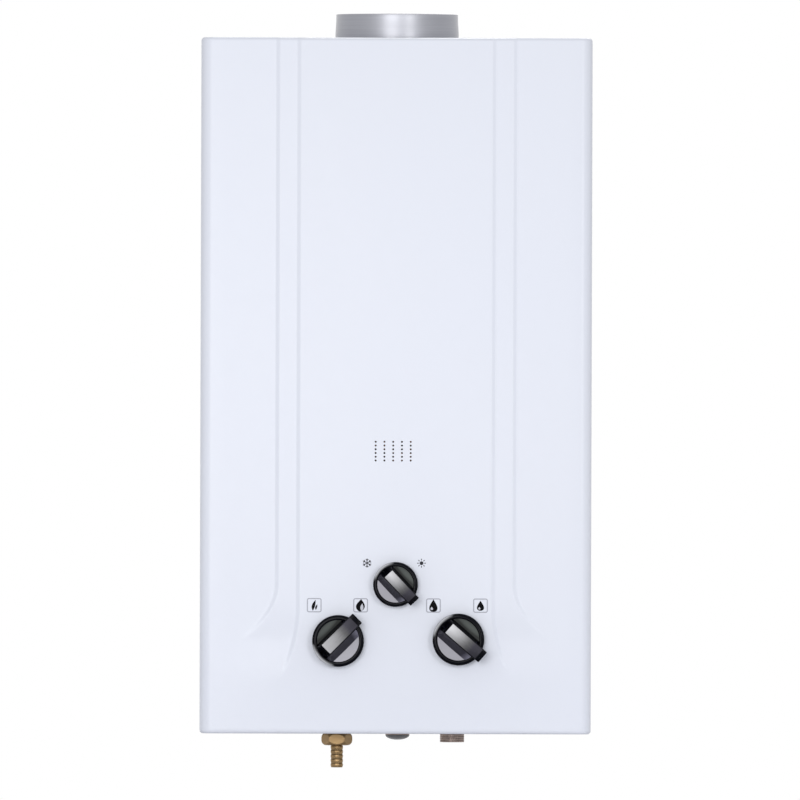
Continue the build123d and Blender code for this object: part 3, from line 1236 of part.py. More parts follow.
PIECES = {
    "front_cover": front_cover,
    "cover_screws": cover_screws,
    "back_plate": back_plate,
    "bottom_plate": bottom_plate,
    "hinge_ears": hinge_ears,
    "chamber_brackets": chamber_brackets,
    "burner_brackets": burner_brackets,
    "valve_brackets": valve_brackets,
    "flue_collar": flue_collar,
    "draft_hood": draft_hood,
    "combustion_chamber": combustion_chamber,
    "fin_block": fin_block,
    "return_bends": return_bends,
    "water_coil": water_coil,
    "cold_pipe": cold_pipe,
    "hot_pipe": hot_pipe,
    "overheat_thermostat": overheat_thermostat,
    "burner_blades": burner_blades,
    "burner_frame": burner_frame,
    "gas_manifold": gas_manifold,
    "gas_injectors": gas_injectors,
    "electrode_bracket": electrode_bracket,
    "electrode_insulators": electrode_insulators,
    "electrode_rods": electrode_rods,
    "gas_valve_body": gas_valve_body,
    "gas_solenoid": gas_solenoid,
    "season_valve_body": season_valve_body,
    "water_valve_body": water_valve_body,
    "water_valve_cover": water_valve_cover,
    "diaphragm": diaphragm,
    "housing_screws": housing_screws,
    "diaphragm_plate": diaphragm_plate,
    "push_rod": push_rod,
    "micro_switch": micro_switch,
    "gas_spindle": lambda: spindle(*knob_places()["gas"]),
    "season_spindle": lambda: spindle(*knob_places()["season"]),
    "water_spindle": lambda: spindle(*knob_places()["water"]),
    "gland_nuts": gland_nuts,
    "gas_knob": lambda: placed_knob("gas", KNOB_DIAMETER),
    "season_knob": lambda: placed_knob("season", SEASON_KNOB_DIAMETER),
    "water_knob": lambda: placed_knob("water", KNOB_DIAMETER),
    "gas_inlet_stub": gas_inlet_stub,
    "gas_seal_washer": gas_seal_washer,
    "gas_union_nut": gas_union_nut,
    "hose_barb": hose_barb,
    "cold_inlet_stub": cold_inlet_stub,
    "inlet_filter": inlet_filter,
    "hot_outlet_stub": hot_outlet_stub,
    "outlet_plug": outlet_plug,
    "igniter_box": igniter_box,
    "battery_box": battery_box,
    "battery_cells": battery_cells,
    "battery_contacts": battery_contacts,
    "battery_lid": battery_lid,
}


def main():
    """Build every piece and write one file for each."""
    os.makedirs("parts", exist_ok=True)
    for name, build in PIECES.items():
        built = build()
        shapes = built if isinstance(built, list) else [built]
        solids = [solid for shape in shapes for solid in shape.solids()]
        export_step(solids[0] if len(solids) == 1 else Compound(children=solids), f"parts/{name}.step")


main()
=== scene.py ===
import json
import math

import bmesh
import bpy
from bpy.props import FloatProperty, FloatVectorProperty, IntProperty, PointerProperty
from mathutils import Matrix, Vector
from mathutils.bvhtree import BVHTree


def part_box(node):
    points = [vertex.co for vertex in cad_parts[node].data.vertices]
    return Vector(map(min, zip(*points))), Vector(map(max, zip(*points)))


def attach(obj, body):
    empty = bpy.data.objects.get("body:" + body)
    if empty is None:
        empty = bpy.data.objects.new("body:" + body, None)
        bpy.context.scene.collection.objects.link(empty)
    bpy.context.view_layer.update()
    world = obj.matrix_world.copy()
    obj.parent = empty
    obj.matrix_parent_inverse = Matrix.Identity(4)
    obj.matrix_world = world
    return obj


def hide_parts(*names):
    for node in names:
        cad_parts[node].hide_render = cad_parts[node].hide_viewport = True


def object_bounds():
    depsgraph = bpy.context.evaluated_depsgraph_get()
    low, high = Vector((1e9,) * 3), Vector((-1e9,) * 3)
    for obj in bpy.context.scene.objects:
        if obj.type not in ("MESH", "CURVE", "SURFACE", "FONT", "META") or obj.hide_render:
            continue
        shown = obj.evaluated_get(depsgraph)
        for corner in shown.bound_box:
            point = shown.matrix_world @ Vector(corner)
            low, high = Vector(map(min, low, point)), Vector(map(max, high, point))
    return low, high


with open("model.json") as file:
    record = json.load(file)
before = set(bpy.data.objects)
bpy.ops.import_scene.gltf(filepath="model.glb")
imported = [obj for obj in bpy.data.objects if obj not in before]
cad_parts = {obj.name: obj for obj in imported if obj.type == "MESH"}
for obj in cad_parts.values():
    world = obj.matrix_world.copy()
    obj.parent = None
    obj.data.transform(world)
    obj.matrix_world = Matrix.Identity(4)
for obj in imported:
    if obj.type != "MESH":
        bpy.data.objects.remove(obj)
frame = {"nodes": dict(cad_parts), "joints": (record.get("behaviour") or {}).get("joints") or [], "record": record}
CAD_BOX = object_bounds()

bl_info = {
    "name": "Gas water heater",
    "version": (1, 0, 0),
    "blender": (4, 5, 0),
    "location": "3D View > Sidebar > Heater",
    "description": "Dresses the frame of a wall-hung gas water heater with fine pieces and finishes",
    "category": "Object",
}

CASING = "casing"
LID_BODY = "battery_door"
COVER_LOW, COVER_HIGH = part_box("front_cover")
JOINTS = {joint["name"]: joint for joint in frame["joints"]}

# The three knobs: joint, body, node, pointer angle seen from the front, and size against the large knob
KNOBS = {
    "gas": ("gas_turn", "gas_control", "gas_knob", 45.0, 1.0),
    "season": ("season_turn", "season_control", "season_knob", -46.6, 0.865),
    "water": ("water_turn", "water_control", "water_knob", -41.0, 1.0),
}

# Framed marks: place, height setting, outer and inner outline as shares of that height, and the inner ink
FRAMED_MARKS = {
    "small_flame": (
        -0.0695, "small_symbol", (0.44, 1.0, (-0.12, 0.0), 0.26, 0.9), (0.26, 0.52, (0.14, -0.16), 0.14, 0.9),
        "season_ink",
    ),
    "large_flame": (
        -0.0298, "large_symbol", (0.92, 1.0, (-0.03, 0.0), 0.08, 0.6), (0.36, 0.62, (0.09, -0.15), 0.04, 0.8),
        "pale_ink",
    ),
    "large_drop": (0.0325, "large_symbol", (0.64, 1.0), (0.20, 0.26, (-0.13, -0.22)), "pale_ink"),
    "small_drop": (0.0728, "small_symbol", (0.62, 0.90), (0.20, 0.24, (-0.10, -0.22)), "pale_ink"),
}
INKS = ("mark_ink", "pale_ink", "frame_ink", "season_ink")

# Plain drop: how sharply it narrows to its point, and its full width before it is scaled
DROP_SHARPNESS = 1.5
DROP_WIDTH = 1.4

# Season marks: places across the panel, then shares of their size
SEASON_PLACES = {"winter": -0.0244, "summer": 0.0222}
SEASON_LINE = 0.085
SNOW_KNEE = 0.20
SNOW_BRANCH = 0.14
SNOW_SLANT = math.radians(52)
SUN_DISC = 0.21
SUN_RAY_FROM = 0.30
SUN_RAY_TO = 0.48

# Places of the painted highlight, glow, shade and reflection in the knobs' finishes, in units of the knob's radius
# along or across the pointer
PAINTED_HIGHLIGHT_RIM_SQUARED = 0.76
PAINTED_HIGHLIGHT_BEHIND = 0.74
PAINTED_DISH_GLOW_ACROSS = 0.68
PAINTED_FLANK_TIP_ALONG = 0.45

# Ring thread over one pitch: share of the pitch, and depths below the crest
THREAD_SHAPE = ((0.10, 1), (0.40, 0), (0.65, 0), (0.95, 1))

# Turn that brings a shape made about Z to face the front, and the distance within which points are one
FRONTWARD = Matrix.Rotation(math.radians(90), 4, "X")
MERGE = 1e-6

# Lamps: where each stands, and its side
KEY_LAMP = ((-0.55, -3.00, 0.18), 1.2)
FILL_LAMP = ((1.70, -3.90, 0.40), 1.0)
REAR_LAMP = ((0.60, 2.40, 2.60), 1.6)
WHITE = (1.0, 1.0, 1.0, 1.0)

# Finish of each slot's nodes that keep their own mesh
PLAIN_FINISHES = {
    "galvanised_sheet": "galvanised",
    "copper": "copper_tube",
    "burner_steel": "burner_steel",
    "cast_aluminium": "die_casting",
    "brass": "machined_brass",
    "stainless": "bright_stainless",
    "grey_plastic": "grey_moulding",
    "black_plastic": "black_moulding",
    "solenoid_steel": "zinc_plate",
    "insulator_ceramic": "glazed_ceramic",
    "seal_rubber": "seal_rubber",
    "cell_jacket": "cell_jacket",
}


def length(name, description, default):
    """Length property of a settings group, in metres."""
    return FloatProperty(name=name, description=description, default=default, unit="LENGTH", precision=5)


def colour(name, description, default):
    """Colour property of a settings group, in linear values."""
    return FloatVectorProperty(
        name=name, description=description, default=default, size=3, min=0.0, max=1.0, subtype="COLOR"
    )


def power(name, description, default):
    """Lamp power property of a settings group, in watts."""
    return FloatProperty(name=name, description=description, default=default, unit="POWER")


class HeaterCoverSettings(bpy.types.PropertyGroup):
    """Sizes and colour of the pressed front cover."""

    paint: colour("Paint", "Baked enamel of the cover", (0.785, 0.813, 0.900))
    sheet: length("Sheet", "Thickness of the pressed steel", 0.001)
    edge_radius: length("Edge radius", "Rounding of the upright front edges", 0.010)
    rim_radius: length("Rim radius", "Rounding of the top and bottom rims", 0.003)
    lip: length("Lip", "Width of the lip turned in below", 0.020)
    step_rise: length("Step rise", "Height of each pressed step", 0.0015)
    step_run: length("Step run", "Width of each step's slope", 0.0034)
    outer_line: length("Outer line", "Half distance between the outer lines", 0.1016)
    outer_flare: length("Outer flare", "How far the outer lines swing out", 0.034)
    outer_from: length("Outer flare start", "Where the outer lines start to flare, above the foot", 0.128)
    outer_end: length("Outer flare end", "Where the outer lines fade out, above the foot", 0.078)
    inner_line: length("Inner line", "Half distance between the inner lines", 0.0835)
    inner_flare: length("Inner flare", "How far the inner lines swing out", 0.017)
    inner_from: length("Inner flare start", "Where the inner lines start to flare, above the foot", 0.110)
    inner_end: length("Inner flare end", "Where the inner lines fade out, above the foot", 0.044)
    knob_hole: length("Knob hole", "Diameter of the holes behind the knobs", 0.022)
    view_x: length("View holes X", "Middle of the block of view holes", -0.0023)
    view_height: length("View holes height", "Middle of the block of view holes, above the foot", 0.242)
    view_hole: length("View hole", "Diameter of one view hole", 0.0017)
    view_column_pitch: length("View column pitch", "Distance between columns of view holes", 0.0075)
    view_row_pitch: length("View row pitch", "Distance between rows of view holes", 0.0032)
    view_columns: IntProperty(name="View columns", description="Columns of view holes", default=5)
    view_rows: IntProperty(name="View rows", description="Rows of view holes", default=6)
    notch_gap: length("Notch gap", "Room between the flue collar and the cover", 0.001)
    screw_hole: length("Screw hole", "Diameter of the screw holes in the lip", 0.0044)
    screw_setback: length("Screw setback", "Distance of the lip's screws from the wall", 0.046)
    screw_x: length("Screw X", "Distance of the lip's screws from the middle", 0.15675)


class HeaterKnobSettings(bpy.types.PropertyGroup):
    """Sizes and colours of the large knob; the season knob is scaled from it."""

    radius: length("Radius", "Radius of the skirt", 0.0222)
    skirt: length("Skirt", "Height of the skirt", 0.009)
    rise: length("Rise", "Height of the pointer bar's top", 0.0196)
    rim: length("Rim", "Width of the rim round the dish", 0.0040)
    rim_round: length("Rim rounding", "Rounding of the skirt's rim", 0.0022)
    dish: length("Dish", "Depth of the dish", 0.0012)
    wall: length("Wall", "Wall of the hollow skirt", 0.003)
    hollow: length("Hollow", "Depth of the hollow back", 0.005)
    reach: length("Reach", "Distance of the pointer's tip from the axis", 0.0256)
    tail: length("Tail", "Distance of the bar's tail from the axis", 0.013)
    bar: length("Bar", "Width of the pointer bar", 0.0114)
    bar_shift: length("Bar shift", "How far the bar stands left of the axis", 0.0022)
    bar_round: length("Bar rounding", "Rounding of the pointer bar's edges", 0.0008)
    flank_left: length("Left flank", "Width of the steep flank on the left of the bar", 0.0026)
    flank_right: length("Right flank", "Width of the broad flank on the right of the bar", 0.0066)
    seam: length("Seam", "How far the flanks run into the bar", 0.0003)
    cap: length("Cap", "Thickness of the silvered plate on the bar", 0.0004)
    cap_edge: length("Cap edge", "Black border beside the silvered plate", 0.0006)
    cap_end: length("Cap end", "Black border between the silvered plate and the tip", 0.0042)
    black: colour("Black", "Gloss moulding of the skirt and bar", (0.0018, 0.0020, 0.0042))
    # Painted highlight: the rounded rim behind the tail is painted light grey as a reflection, not as wear.
    painted_rim_highlight: colour("Glint", "Worn sheen of the rim behind the tail", (0.52, 0.53, 0.56))
    # Painted reflection: the broad flank is black moulding painted slate grey, lighter towards the tip.
    flank_painted_sheen: colour("Flank grey", "Slate sheen of the broad flank", (0.044, 0.043, 0.056))
    # Painted reflection and shade: the silver end is the plate's own silver brightened by a painted reflection,
    # and the dark end at the tip is painted shade.
    silver: colour("Silver", "Bright end of the silvered plate", (0.50, 0.50, 0.52))
    painted_tip_shade: colour("Smoke", "Dark end of the silvered plate", (0.022, 0.021, 0.029))
    # Painted light and painted shade: the lit right side and the shaded left side of one dish plate.
    dish_painted_light: colour("Dish light", "Bright side of the dish plate", (0.29, 0.287, 0.32))
    dish_painted_shade: colour("Dish dark", "Dark side of the dish plate", (0.038, 0.043, 0.041))


class HeaterMarkSettings(bpy.types.PropertyGroup):
    """Sizes and inks of the printed marks."""

    frame_width: length("Frame width", "Width of the rounded frames", 0.0126)
    frame_height: length("Frame height", "Height of the rounded frames", 0.0122)
    frame_line: length("Frame line", "Line of the rounded frames", 0.0009)
    frame_corner: length("Frame corner", "Corner radius of the frames", 0.0018)
    large_symbol: length("Large symbol", "Height of the large flame and drop", 0.0110)
    small_symbol: length("Small symbol", "Height of the small flame and drop", 0.0098)
    season_symbol: length("Season symbol", "Size of the season marks", 0.0078)
    row_height: length("Row height", "Height of the row of frames above the foot", 0.1100)
    season_height: length("Season height", "Height of the season marks above the foot", 0.1462)
    thickness: length("Ink thickness", "How far the ink stands on the paint", 0.00005)
    mark_ink: colour("Mark ink", "Dark printing ink", (0.003, 0.003, 0.004))
    pale_ink: colour("Pale ink", "Pale ink inside the symbols", (0.58, 0.59, 0.66))
    frame_ink: colour("Frame ink", "Grey ink of the frames", (0.42, 0.43, 0.49))
    season_ink: colour("Season ink", "Ink of the season marks", (0.040, 0.040, 0.050))


class HeaterFlueSettings(bpy.types.PropertyGroup):
    """Sizes and colour of the flue collar."""

    metal: colour("Metal", "Spun aluminium", (0.330, 0.335, 0.368))
    wall: length("Wall", "Sheet of the collar", 0.001)
    lower_radius: length("Lower radius", "Radius of the lower band", 0.053)
    upper_radius: length("Upper radius", "Radius of the upper band", 0.0523)
    flange: length("Flange", "Width of the flange on the hood", 0.005)
    step_height: length("Step height", "Middle of the step above the casing", 0.0102)
    step_length: length("Step length", "Length of the step's soft slope", 0.016)


class HeaterFittingSettings(bpy.types.PropertyGroup):
    """Sizes and colours of the pipe ends below the casing."""

    brass: colour("Brass", "Gas nut and hose tail", (0.368, 0.246, 0.124))
    dull_brass: colour("Dull brass", "Brown toned water connections", (0.400, 0.318, 0.284))
    plug_grey: colour("Plug grey", "Moulded outlet plug", (0.200, 0.200, 0.208))
    fit: length("Fit", "Room between a turned piece and its bore", 0.0002)
    nut_flats: length("Nut flats", "Width across the union nut's flats", 0.023)
    nut_round: length("Nut rounding", "Rounding of the nut's corners, above and below", 0.0042)
    nut_ease: length("Nut ease", "Room left above the nut", 0.0012)
    nut_lip: length("Nut lip", "Thickness of the nut's lip under the tail's collar", 0.0025)
    nut_thread: length("Nut thread", "Radius of the nut's thread", 0.00853)
    rib_count: IntProperty(name="Ribs", description="Ribs on the hose tail", default=5)
    rib_crest: length("Rib crest", "Radius of the hose tail's ribs", 0.00535)
    rib_root: length("Rib root", "Radius between the hose tail's ribs", 0.0049)
    rib_rise: length("Rib rise", "Length of a rib's upper slope", 0.001)
    rib_land: length("Rib land", "Length of a rib's crest", 0.001)
    tail_bore: length("Tail bore", "Bore radius of the hose tail", 0.003)
    tail_round: length("Tail rounding", "Rounding of the hose tail's mouth", 0.0004)
    thread_pitch: length("Thread pitch", "Pitch of the water threads", 0.001814)
    thread_depth: length("Thread depth", "Depth of the water threads", 0.0002)
    water_bore: length("Water bore", "Bore radius of the water connections", 0.0075)
    flange: length("Flange", "Width of the water connections' flange", 0.0045)
    flange_thick: length("Flange thickness", "Thickness of the water connections' flange", 0.004)
    plug_dome: length("Plug dome", "Depth of the plug's dome", 0.0042)


class HeaterTrimSettings(bpy.types.PropertyGroup):
    """Sizes of the cover's screws and the battery lid's grip."""

    head_radius: length("Head radius", "Radius of the cover screws' heads", 0.0035)
    head_height: length("Head height", "Height of the cover screws' heads", 0.0016)
    shank_radius: length("Shank radius", "Radius of the cover screws' shanks", 0.002)
    recess_length: length("Recess length", "Span of the cross recess", 0.0042)
    recess_width: length("Recess width", "Width of the cross recess", 0.0009)
    recess_depth: length("Recess depth", "Depth of the cross recess", 0.0010)
    knuckle: length("Knuckle", "Diameter of the lid's hinge knuckle", 0.006)
    lid_thick: length("Lid thickness", "Thickness of the lid's flap", 0.0024)
    rib_count: IntProperty(name="Ribs", description="Grip ribs on the lid", default=5)
    rib_pitch: length("Rib pitch", "Distance between the grip ribs", 0.0036)
    rib_width: length("Rib width", "Width of one grip rib", 0.0014)
    rib_length: length("Rib length", "Length of one grip rib", 0.026)
    rib_rise: length("Rib rise", "Height of the grip ribs", 0.0006)
    rib_setback: length("Rib setback", "Distance of the first rib from the lid's front edge", 0.018)


class HeaterStageSettings(bpy.types.PropertyGroup):
    """Camera, floor and lights."""

    camera_distance: length("Camera distance", "Distance from the camera to the front panel", 20.0)
    frame_width: length("Frame width", "Width that the picture covers at the front panel", 0.6846)
    aim_x: length("Aim X", "Where the camera looks, across", 0.0034)
    aim_z: length("Aim Z", "Where the camera looks, in height", -0.0122)
    roll: FloatProperty(name="Roll", description="Camera roll", default=math.radians(-0.17), unit="ROTATION")
    floor_drop: length("Floor drop", "Room between the hose tail and the floor", 0.073)
    floor_radius: length("Floor radius", "Radius of the floor", 1.6)
    floor_pale: colour("Floor", "Pale floor", (0.86, 0.86, 0.87))
    ambient: FloatProperty(name="Ambient", description="Strength of the soft surrounding light", default=0.50)
    key_power: power("Key", "Power of the left front lamp", 28.0)
    fill_power: power("Fill", "Power of the right front lamp", 26.0)
    rear_power: power("Rear", "Power of the high rear lamp", 36.0)


SETTINGS = {
    "heater_cover": HeaterCoverSettings,
    "heater_knobs": HeaterKnobSettings,
    "heater_marks": HeaterMarkSettings,
    "heater_flue": HeaterFlueSettings,
    "heater_fittings": HeaterFittingSettings,
    "heater_trim": HeaterTrimSettings,
    "heater_stage": HeaterStageSettings,
}


class Wire:
    """A shader socket that Python's arithmetic works on."""

    def __init__(self, finish, socket):
        self.finish = finish
        self.socket = socket

    def __add__(self, other):
        return self.finish.math("ADD", self, other)

    def __radd__(self, other):
        return self.finish.math("ADD", other, self)

    def __sub__(self, other):
        return self.finish.math("SUBTRACT", self, other)

    def __rsub__(self, other):
        return self.finish.math("SUBTRACT", other, self)

    def __mul__(self, other):
        return self.finish.math("MULTIPLY", self, other)

    def __rmul__(self, other):
        return self.finish.math("MULTIPLY", other, self)

    def output(self, name):
        """Another output of the same node."""
        return Wire(self.finish, self.socket.node.outputs[name])

    def held(self):
        """The value held between 0 and 1."""
        return self.finish.math("MINIMUM", self.finish.math("MAXIMUM", self, 0.0), 1.0)


class Finish:
    """The nodes of one procedural material, or of the world."""

    def __init__(self, owner):
        self.owner = owner
        owner.use_nodes = True
        self.tree = owner.node_tree
        self.tree.nodes.clear()

    def node(self, kind, settings=None, inputs=None, output=0):
        """Adds a node: its settings first, then the values or links of its sockets."""
        made = self.tree.nodes.new(kind)
        for key, value in (settings or {}).items():
            if key == "stops":
                self.set_stops(made.color_ramp, value)
            else:
                setattr(made, key, value)
        for key, value in (inputs or {}).items():
            if isinstance(value, Wire):
                self.tree.links.new(value.socket, made.inputs[key])
            else:
                made.inputs[key].default_value = value
        return Wire(self, made.outputs[output])

    def set_stops(self, ramp, stops):
        """Sets a colour ramp's stops."""
        while len(ramp.elements) < len(stops):
            ramp.elements.new(1.0)
        for element, (place, shade) in zip(ramp.elements, stops):
            element.position = place
            element.color = shade

    def math(self, operation, first, second):
        """Math node of one operation."""
        return self.node("ShaderNodeMath", {"operation": operation}, {0: first, 1: second})

    def place(self, scale=(1.0, 1.0, 1.0)):
        """Object coordinates, stretched by scale."""
        coordinates = self.node("ShaderNodeTexCoord", output="Object")
        inputs = {"Vector": coordinates, "Scale": scale}
        return self.node("ShaderNodeMapping", {"vector_type": "POINT"}, inputs)

    def noise(self, scale, detail=2.0, stretch=(1.0, 1.0, 1.0)):
        """Noise value on object coordinates, with scale in cells to the metre."""
        inputs = {"Vector": self.place(stretch), "Scale": scale, "Detail": detail}
        return self.node("ShaderNodeTexNoise", None, inputs, "Fac")

    def mix(self, factor, first, second):
        """Colour between two colours."""
        node = {"data_type": "RGBA"}
        return self.node("ShaderNodeMix", node, {0: factor, 6: opaque(first), 7: opaque(second)}, 2)

    def bump(self, height, distance, strength=1.0):
        """Normal from a height value."""
        inputs = {"Height": height, "Distance": distance, "Strength": strength}
        return self.node("ShaderNodeBump", None, inputs)

    def surface(self, inputs):
        """Closes a material with one shader."""
        return self.close(self.node("ShaderNodeBsdfPrincipled", None, inputs))

    def close(self, shader, kind="ShaderNodeOutputMaterial"):
        """Links a shader to the output, and returns the finished material or world."""
        target = self.tree.nodes.new(kind)
        self.tree.links.new(shader.socket, target.inputs["Surface"])
        return self.owner


def new_finish(name):
    """Empty procedural material."""
    return Finish(bpy.data.materials.new(name))


def opaque(shade):
    """Colour with a full alpha, or a wire as it is."""
    return shade if isinstance(shade, Wire) else (*shade, 1.0)


def tinted(shade, factor):
    """Colour made lighter or darker by a factor."""
    return tuple(min(1.0, part * factor) for part in shade)


def enamel(paint):
    """Baked enamel: a faint orange peel and a slight drift of tone."""
    finish = new_finish("baked_enamel")
    drift = finish.noise(5.0, 1.0)
    cool = (paint[0] * 0.988, paint[1] * 0.994, min(1.0, paint[2] * 1.010))
    return finish.surface({
        "Base Color": finish.mix(drift, paint, cool),
        "Roughness": 0.30 + finish.noise(60.0, 2.0) * 0.06,
        "Normal": finish.bump(finish.noise(420.0, 1.0), 0.00002, 0.35),
        "Specular IOR Level": 0.35,
    })


def printing_ink(name, shade):
    """Flat printing ink with a slightly uneven coat."""
    finish = new_finish(name)
    thin = finish.noise(1800.0, 2.0)
    return finish.surface({
        "Base Color": finish.mix(thin, tinted(shade, 0.9), tinted(shade, 1.25)),
        "Roughness": 0.42 + thin * 0.1,
        "Specular IOR Level": 0.03,
    })


def plan_axes(finish):
    """The piece's own map: along the pointer and across it, in units of the knob's radius."""
    chart = finish.node("ShaderNodeUVMap", {"uv_map": "plan"})
    along = finish.node("ShaderNodeSeparateXYZ", None, {"Vector": chart}, "X")
    return along, along.output("Y")


def gloss_black(settings, back):
    """Gloss black moulding with faint ripple, and a painted highlight on the rounded rim behind the tail."""
    finish = new_finish("gloss_black")
    along, across = plan_axes(finish)
    depth = finish.node("ShaderNodeSeparateXYZ", None, {"Vector": finish.place()}, "Y")
    ripple = finish.noise(180.0, 2.0)
    moulded = finish.mix(ripple, settings.black, tinted(settings.black, 1.5))
    # Mask of the painted highlight: the outer, rounded rim, behind the tail.
    outside = ((along * along + across * across - PAINTED_HIGHLIGHT_RIM_SQUARED) * 7.0).held()
    rounded = ((back - settings.skirt + settings.rim_round - depth) * (2.0 / settings.rim_round)).held()
    behind = ((0.0 - along - PAINTED_HIGHLIGHT_BEHIND) * 6.0 + (ripple - 0.5) * 0.8).held()
    return finish.surface({
        "Base Color": finish.mix(outside * rounded * behind, moulded, settings.painted_rim_highlight),
        "Roughness": 0.10 + finish.noise(700.0, 2.0) * 0.06,
        "Normal": finish.bump(ripple, 0.00002, 0.4),
        "Specular IOR Level": 0.06,
    })


def silvered_bar(settings):
    """Brushed silver plate with a painted reflection at the tail that fades to painted shade towards the pointer's
    tip.
    """
    finish = new_finish("silvered_bar")
    along, across = plan_axes(finish)
    brush = finish.node("ShaderNodeCombineXYZ", None, {"X": along * 3.0, "Y": across * 90.0})
    flat = {"noise_dimensions": "2D"}
    grain = finish.node("ShaderNodeTexNoise", flat, {"Vector": brush, "Scale": 1.0}, "Fac")
    # Painted reflection and shade along the bar: bright at the tail, fading to dark at the tip.
    fade = (along * 0.61 + 0.42 + (grain - 0.5) * 0.12).held()
    silver, painted_tip_shade = settings.silver, settings.painted_tip_shade
    stops = [
        (0.0, opaque(silver)), (0.33, opaque(tinted(silver, 0.62))), (0.5, opaque(tinted(silver, 0.38))),
        (0.66, opaque(tinted(silver, 0.16))), (0.8, opaque(tinted(painted_tip_shade, 1.4))), (1.0, opaque(painted_tip_shade)),
    ]
    return finish.surface({
        "Base Color": finish.node("ShaderNodeValToRGB", {"stops": stops}, {"Fac": fade}),
        "Metallic": 0.35,
        "Roughness": 0.36 + grain * 0.12,
        "Normal": finish.bump(grain, 0.00003, 0.3),
        "Specular IOR Level": 0.2,
    })


def dish_plate(settings):
    """Dish plate of one material with painted light and shade: a painted reflection on the pointer's right,
    painted shade on its left.
    """
    finish = new_finish("dish_plate")
    along, across = plan_axes(finish)
    # Painted shade left of the bar with a painted glow in its middle, and painted light on the right that grows
    # towards the tail.
    left = (across * 12.0 + 0.5).held()
    sweep = (along * 0.5 + 0.5).held()
    away = across - PAINTED_DISH_GLOW_ACROSS
    middle = (1.0 - away * away * 40.0 - along * along * 1.6).held()
    bright = finish.mix(sweep, tinted(settings.dish_painted_light, 1.12), tinted(settings.dish_painted_light, 0.84))
    dim = finish.mix(middle, tinted(settings.dish_painted_shade, 0.25), tinted(settings.dish_painted_shade, 1.6))
    return finish.surface({
        "Base Color": finish.mix(left, bright, dim),
        "Metallic": 0.25,
        "Roughness": 0.34 + finish.noise(900.0, 2.0) * 0.1,
        "Specular IOR Level": 0.2,
    })


def bar_sides(knob):
    """Left and right side of a knob's pointer bar."""
    return knob.bar_shift + knob.bar / 2, knob.bar_shift - knob.bar / 2


def pointer_black(settings):
    """Gloss black of the pointer bar, with a painted slate-grey reflection on its broad flank that grows lighter
    near the tip.
    """
    finish = new_finish("pointer_black")
    along, across = plan_axes(finish)
    edge = bar_sides(settings)[1] / settings.radius
    # Painted reflection on the broad flank, right of the bar, lightened further towards the tip.
    flank = ((edge - across) * 40.0).held()
    tip = ((along - PAINTED_FLANK_TIP_ALONG) * 4.0 - across * 1.2 - 0.5).held()
    slate = finish.mix(tip, settings.flank_painted_sheen, tinted(settings.flank_painted_sheen, 4.0))
    return finish.surface({
        "Base Color": finish.mix(flank, settings.black, slate),
        "Roughness": 0.10 + finish.noise(700.0, 2.0) * 0.06,
        "Specular IOR Level": 0.06,
    })


def turned_metal(name, shade, stretch, contrast=0.35, roughness=0.3, lacquer=0.0):
    """Spun or turned metal: fine lines drawn across the stretch."""
    finish = new_finish(name)
    lines = finish.noise(1.0, 3.0, stretch)
    broad = finish.noise(24.0, 2.0)
    tone = (lines * 0.7 + broad * 0.3).held()
    return finish.surface({
        "Base Color": finish.mix(tone, tinted(shade, 1.0 - contrast), tinted(shade, 1.0 + contrast)),
        "Metallic": 1.0,
        "Roughness": roughness + lines * 0.16,
        "Coat Weight": lacquer,
        "Coat Roughness": 0.24,
        "Normal": finish.bump(lines, 0.00006, 0.5),
    })


def cast_metal(name, shade, grain=1400.0, roughness=0.5):
    """Cast or blasted metal with a fine skin."""
    finish = new_finish(name)
    skin = finish.noise(grain, 3.0)
    cloud = finish.noise(45.0, 2.0)
    return finish.surface({
        "Base Color": finish.mix(cloud, tinted(shade, 0.82), tinted(shade, 1.15)),
        "Metallic": 0.9,
        "Roughness": roughness + skin * 0.15,
        "Normal": finish.bump(skin, 0.00008, 0.6),
    })


def galvanised(name, shade):
    """Zinc-coated sheet with flat spangle."""
    finish = new_finish(name)
    cells = finish.node("ShaderNodeTexVoronoi", None, {"Vector": finish.place(), "Scale": 130.0}, "Color")
    split = finish.node("ShaderNodeSeparateColor", None, {"Color": cells})
    spangle = split * 0.7 + finish.noise(300.0, 2.0) * 0.3
    return finish.surface({
        "Base Color": finish.mix(spangle, tinted(shade, 0.78), tinted(shade, 1.16)),
        "Metallic": 0.85,
        "Roughness": 0.36 + spangle * 0.16,
    })


def copper_tube(name, shade):
    """Copper with heat-toned patches and fine drawing lines."""
    finish = new_finish(name)
    heat = finish.noise(22.0, 4.0)
    lines = finish.noise(1.0, 2.0, (500.0, 500.0, 60.0))
    toned = finish.mix(heat, tinted(shade, 1.1), (0.33, 0.15, 0.11))
    return finish.surface({
        "Base Color": toned,
        "Metallic": 1.0,
        "Roughness": 0.26 + heat * 0.14 + lines * 0.06,
        "Normal": finish.bump(lines, 0.00004, 0.4),
    })


def moulding(name, shade, roughness=0.45):
    """Fine-textured plastic moulding."""
    finish = new_finish(name)
    texture = finish.noise(2600.0, 2.0)
    cloud = finish.noise(40.0, 2.0)
    return finish.surface({
        "Base Color": finish.mix(cloud, tinted(shade, 0.88), tinted(shade, 1.12)),
        "Roughness": roughness + texture * 0.12,
        "Normal": finish.bump(texture, 0.00003, 0.6),
    })


def glaze(name, shade):
    """Glazed ceramic with a faint cream mottle."""
    finish = new_finish(name)
    mottle = finish.noise(350.0, 2.0)
    return finish.surface({
        "Base Color": finish.mix(mottle, shade, tinted(shade, 0.93)),
        "Roughness": 0.18 + mottle * 0.08,
        "Coat Weight": 0.4,
    })


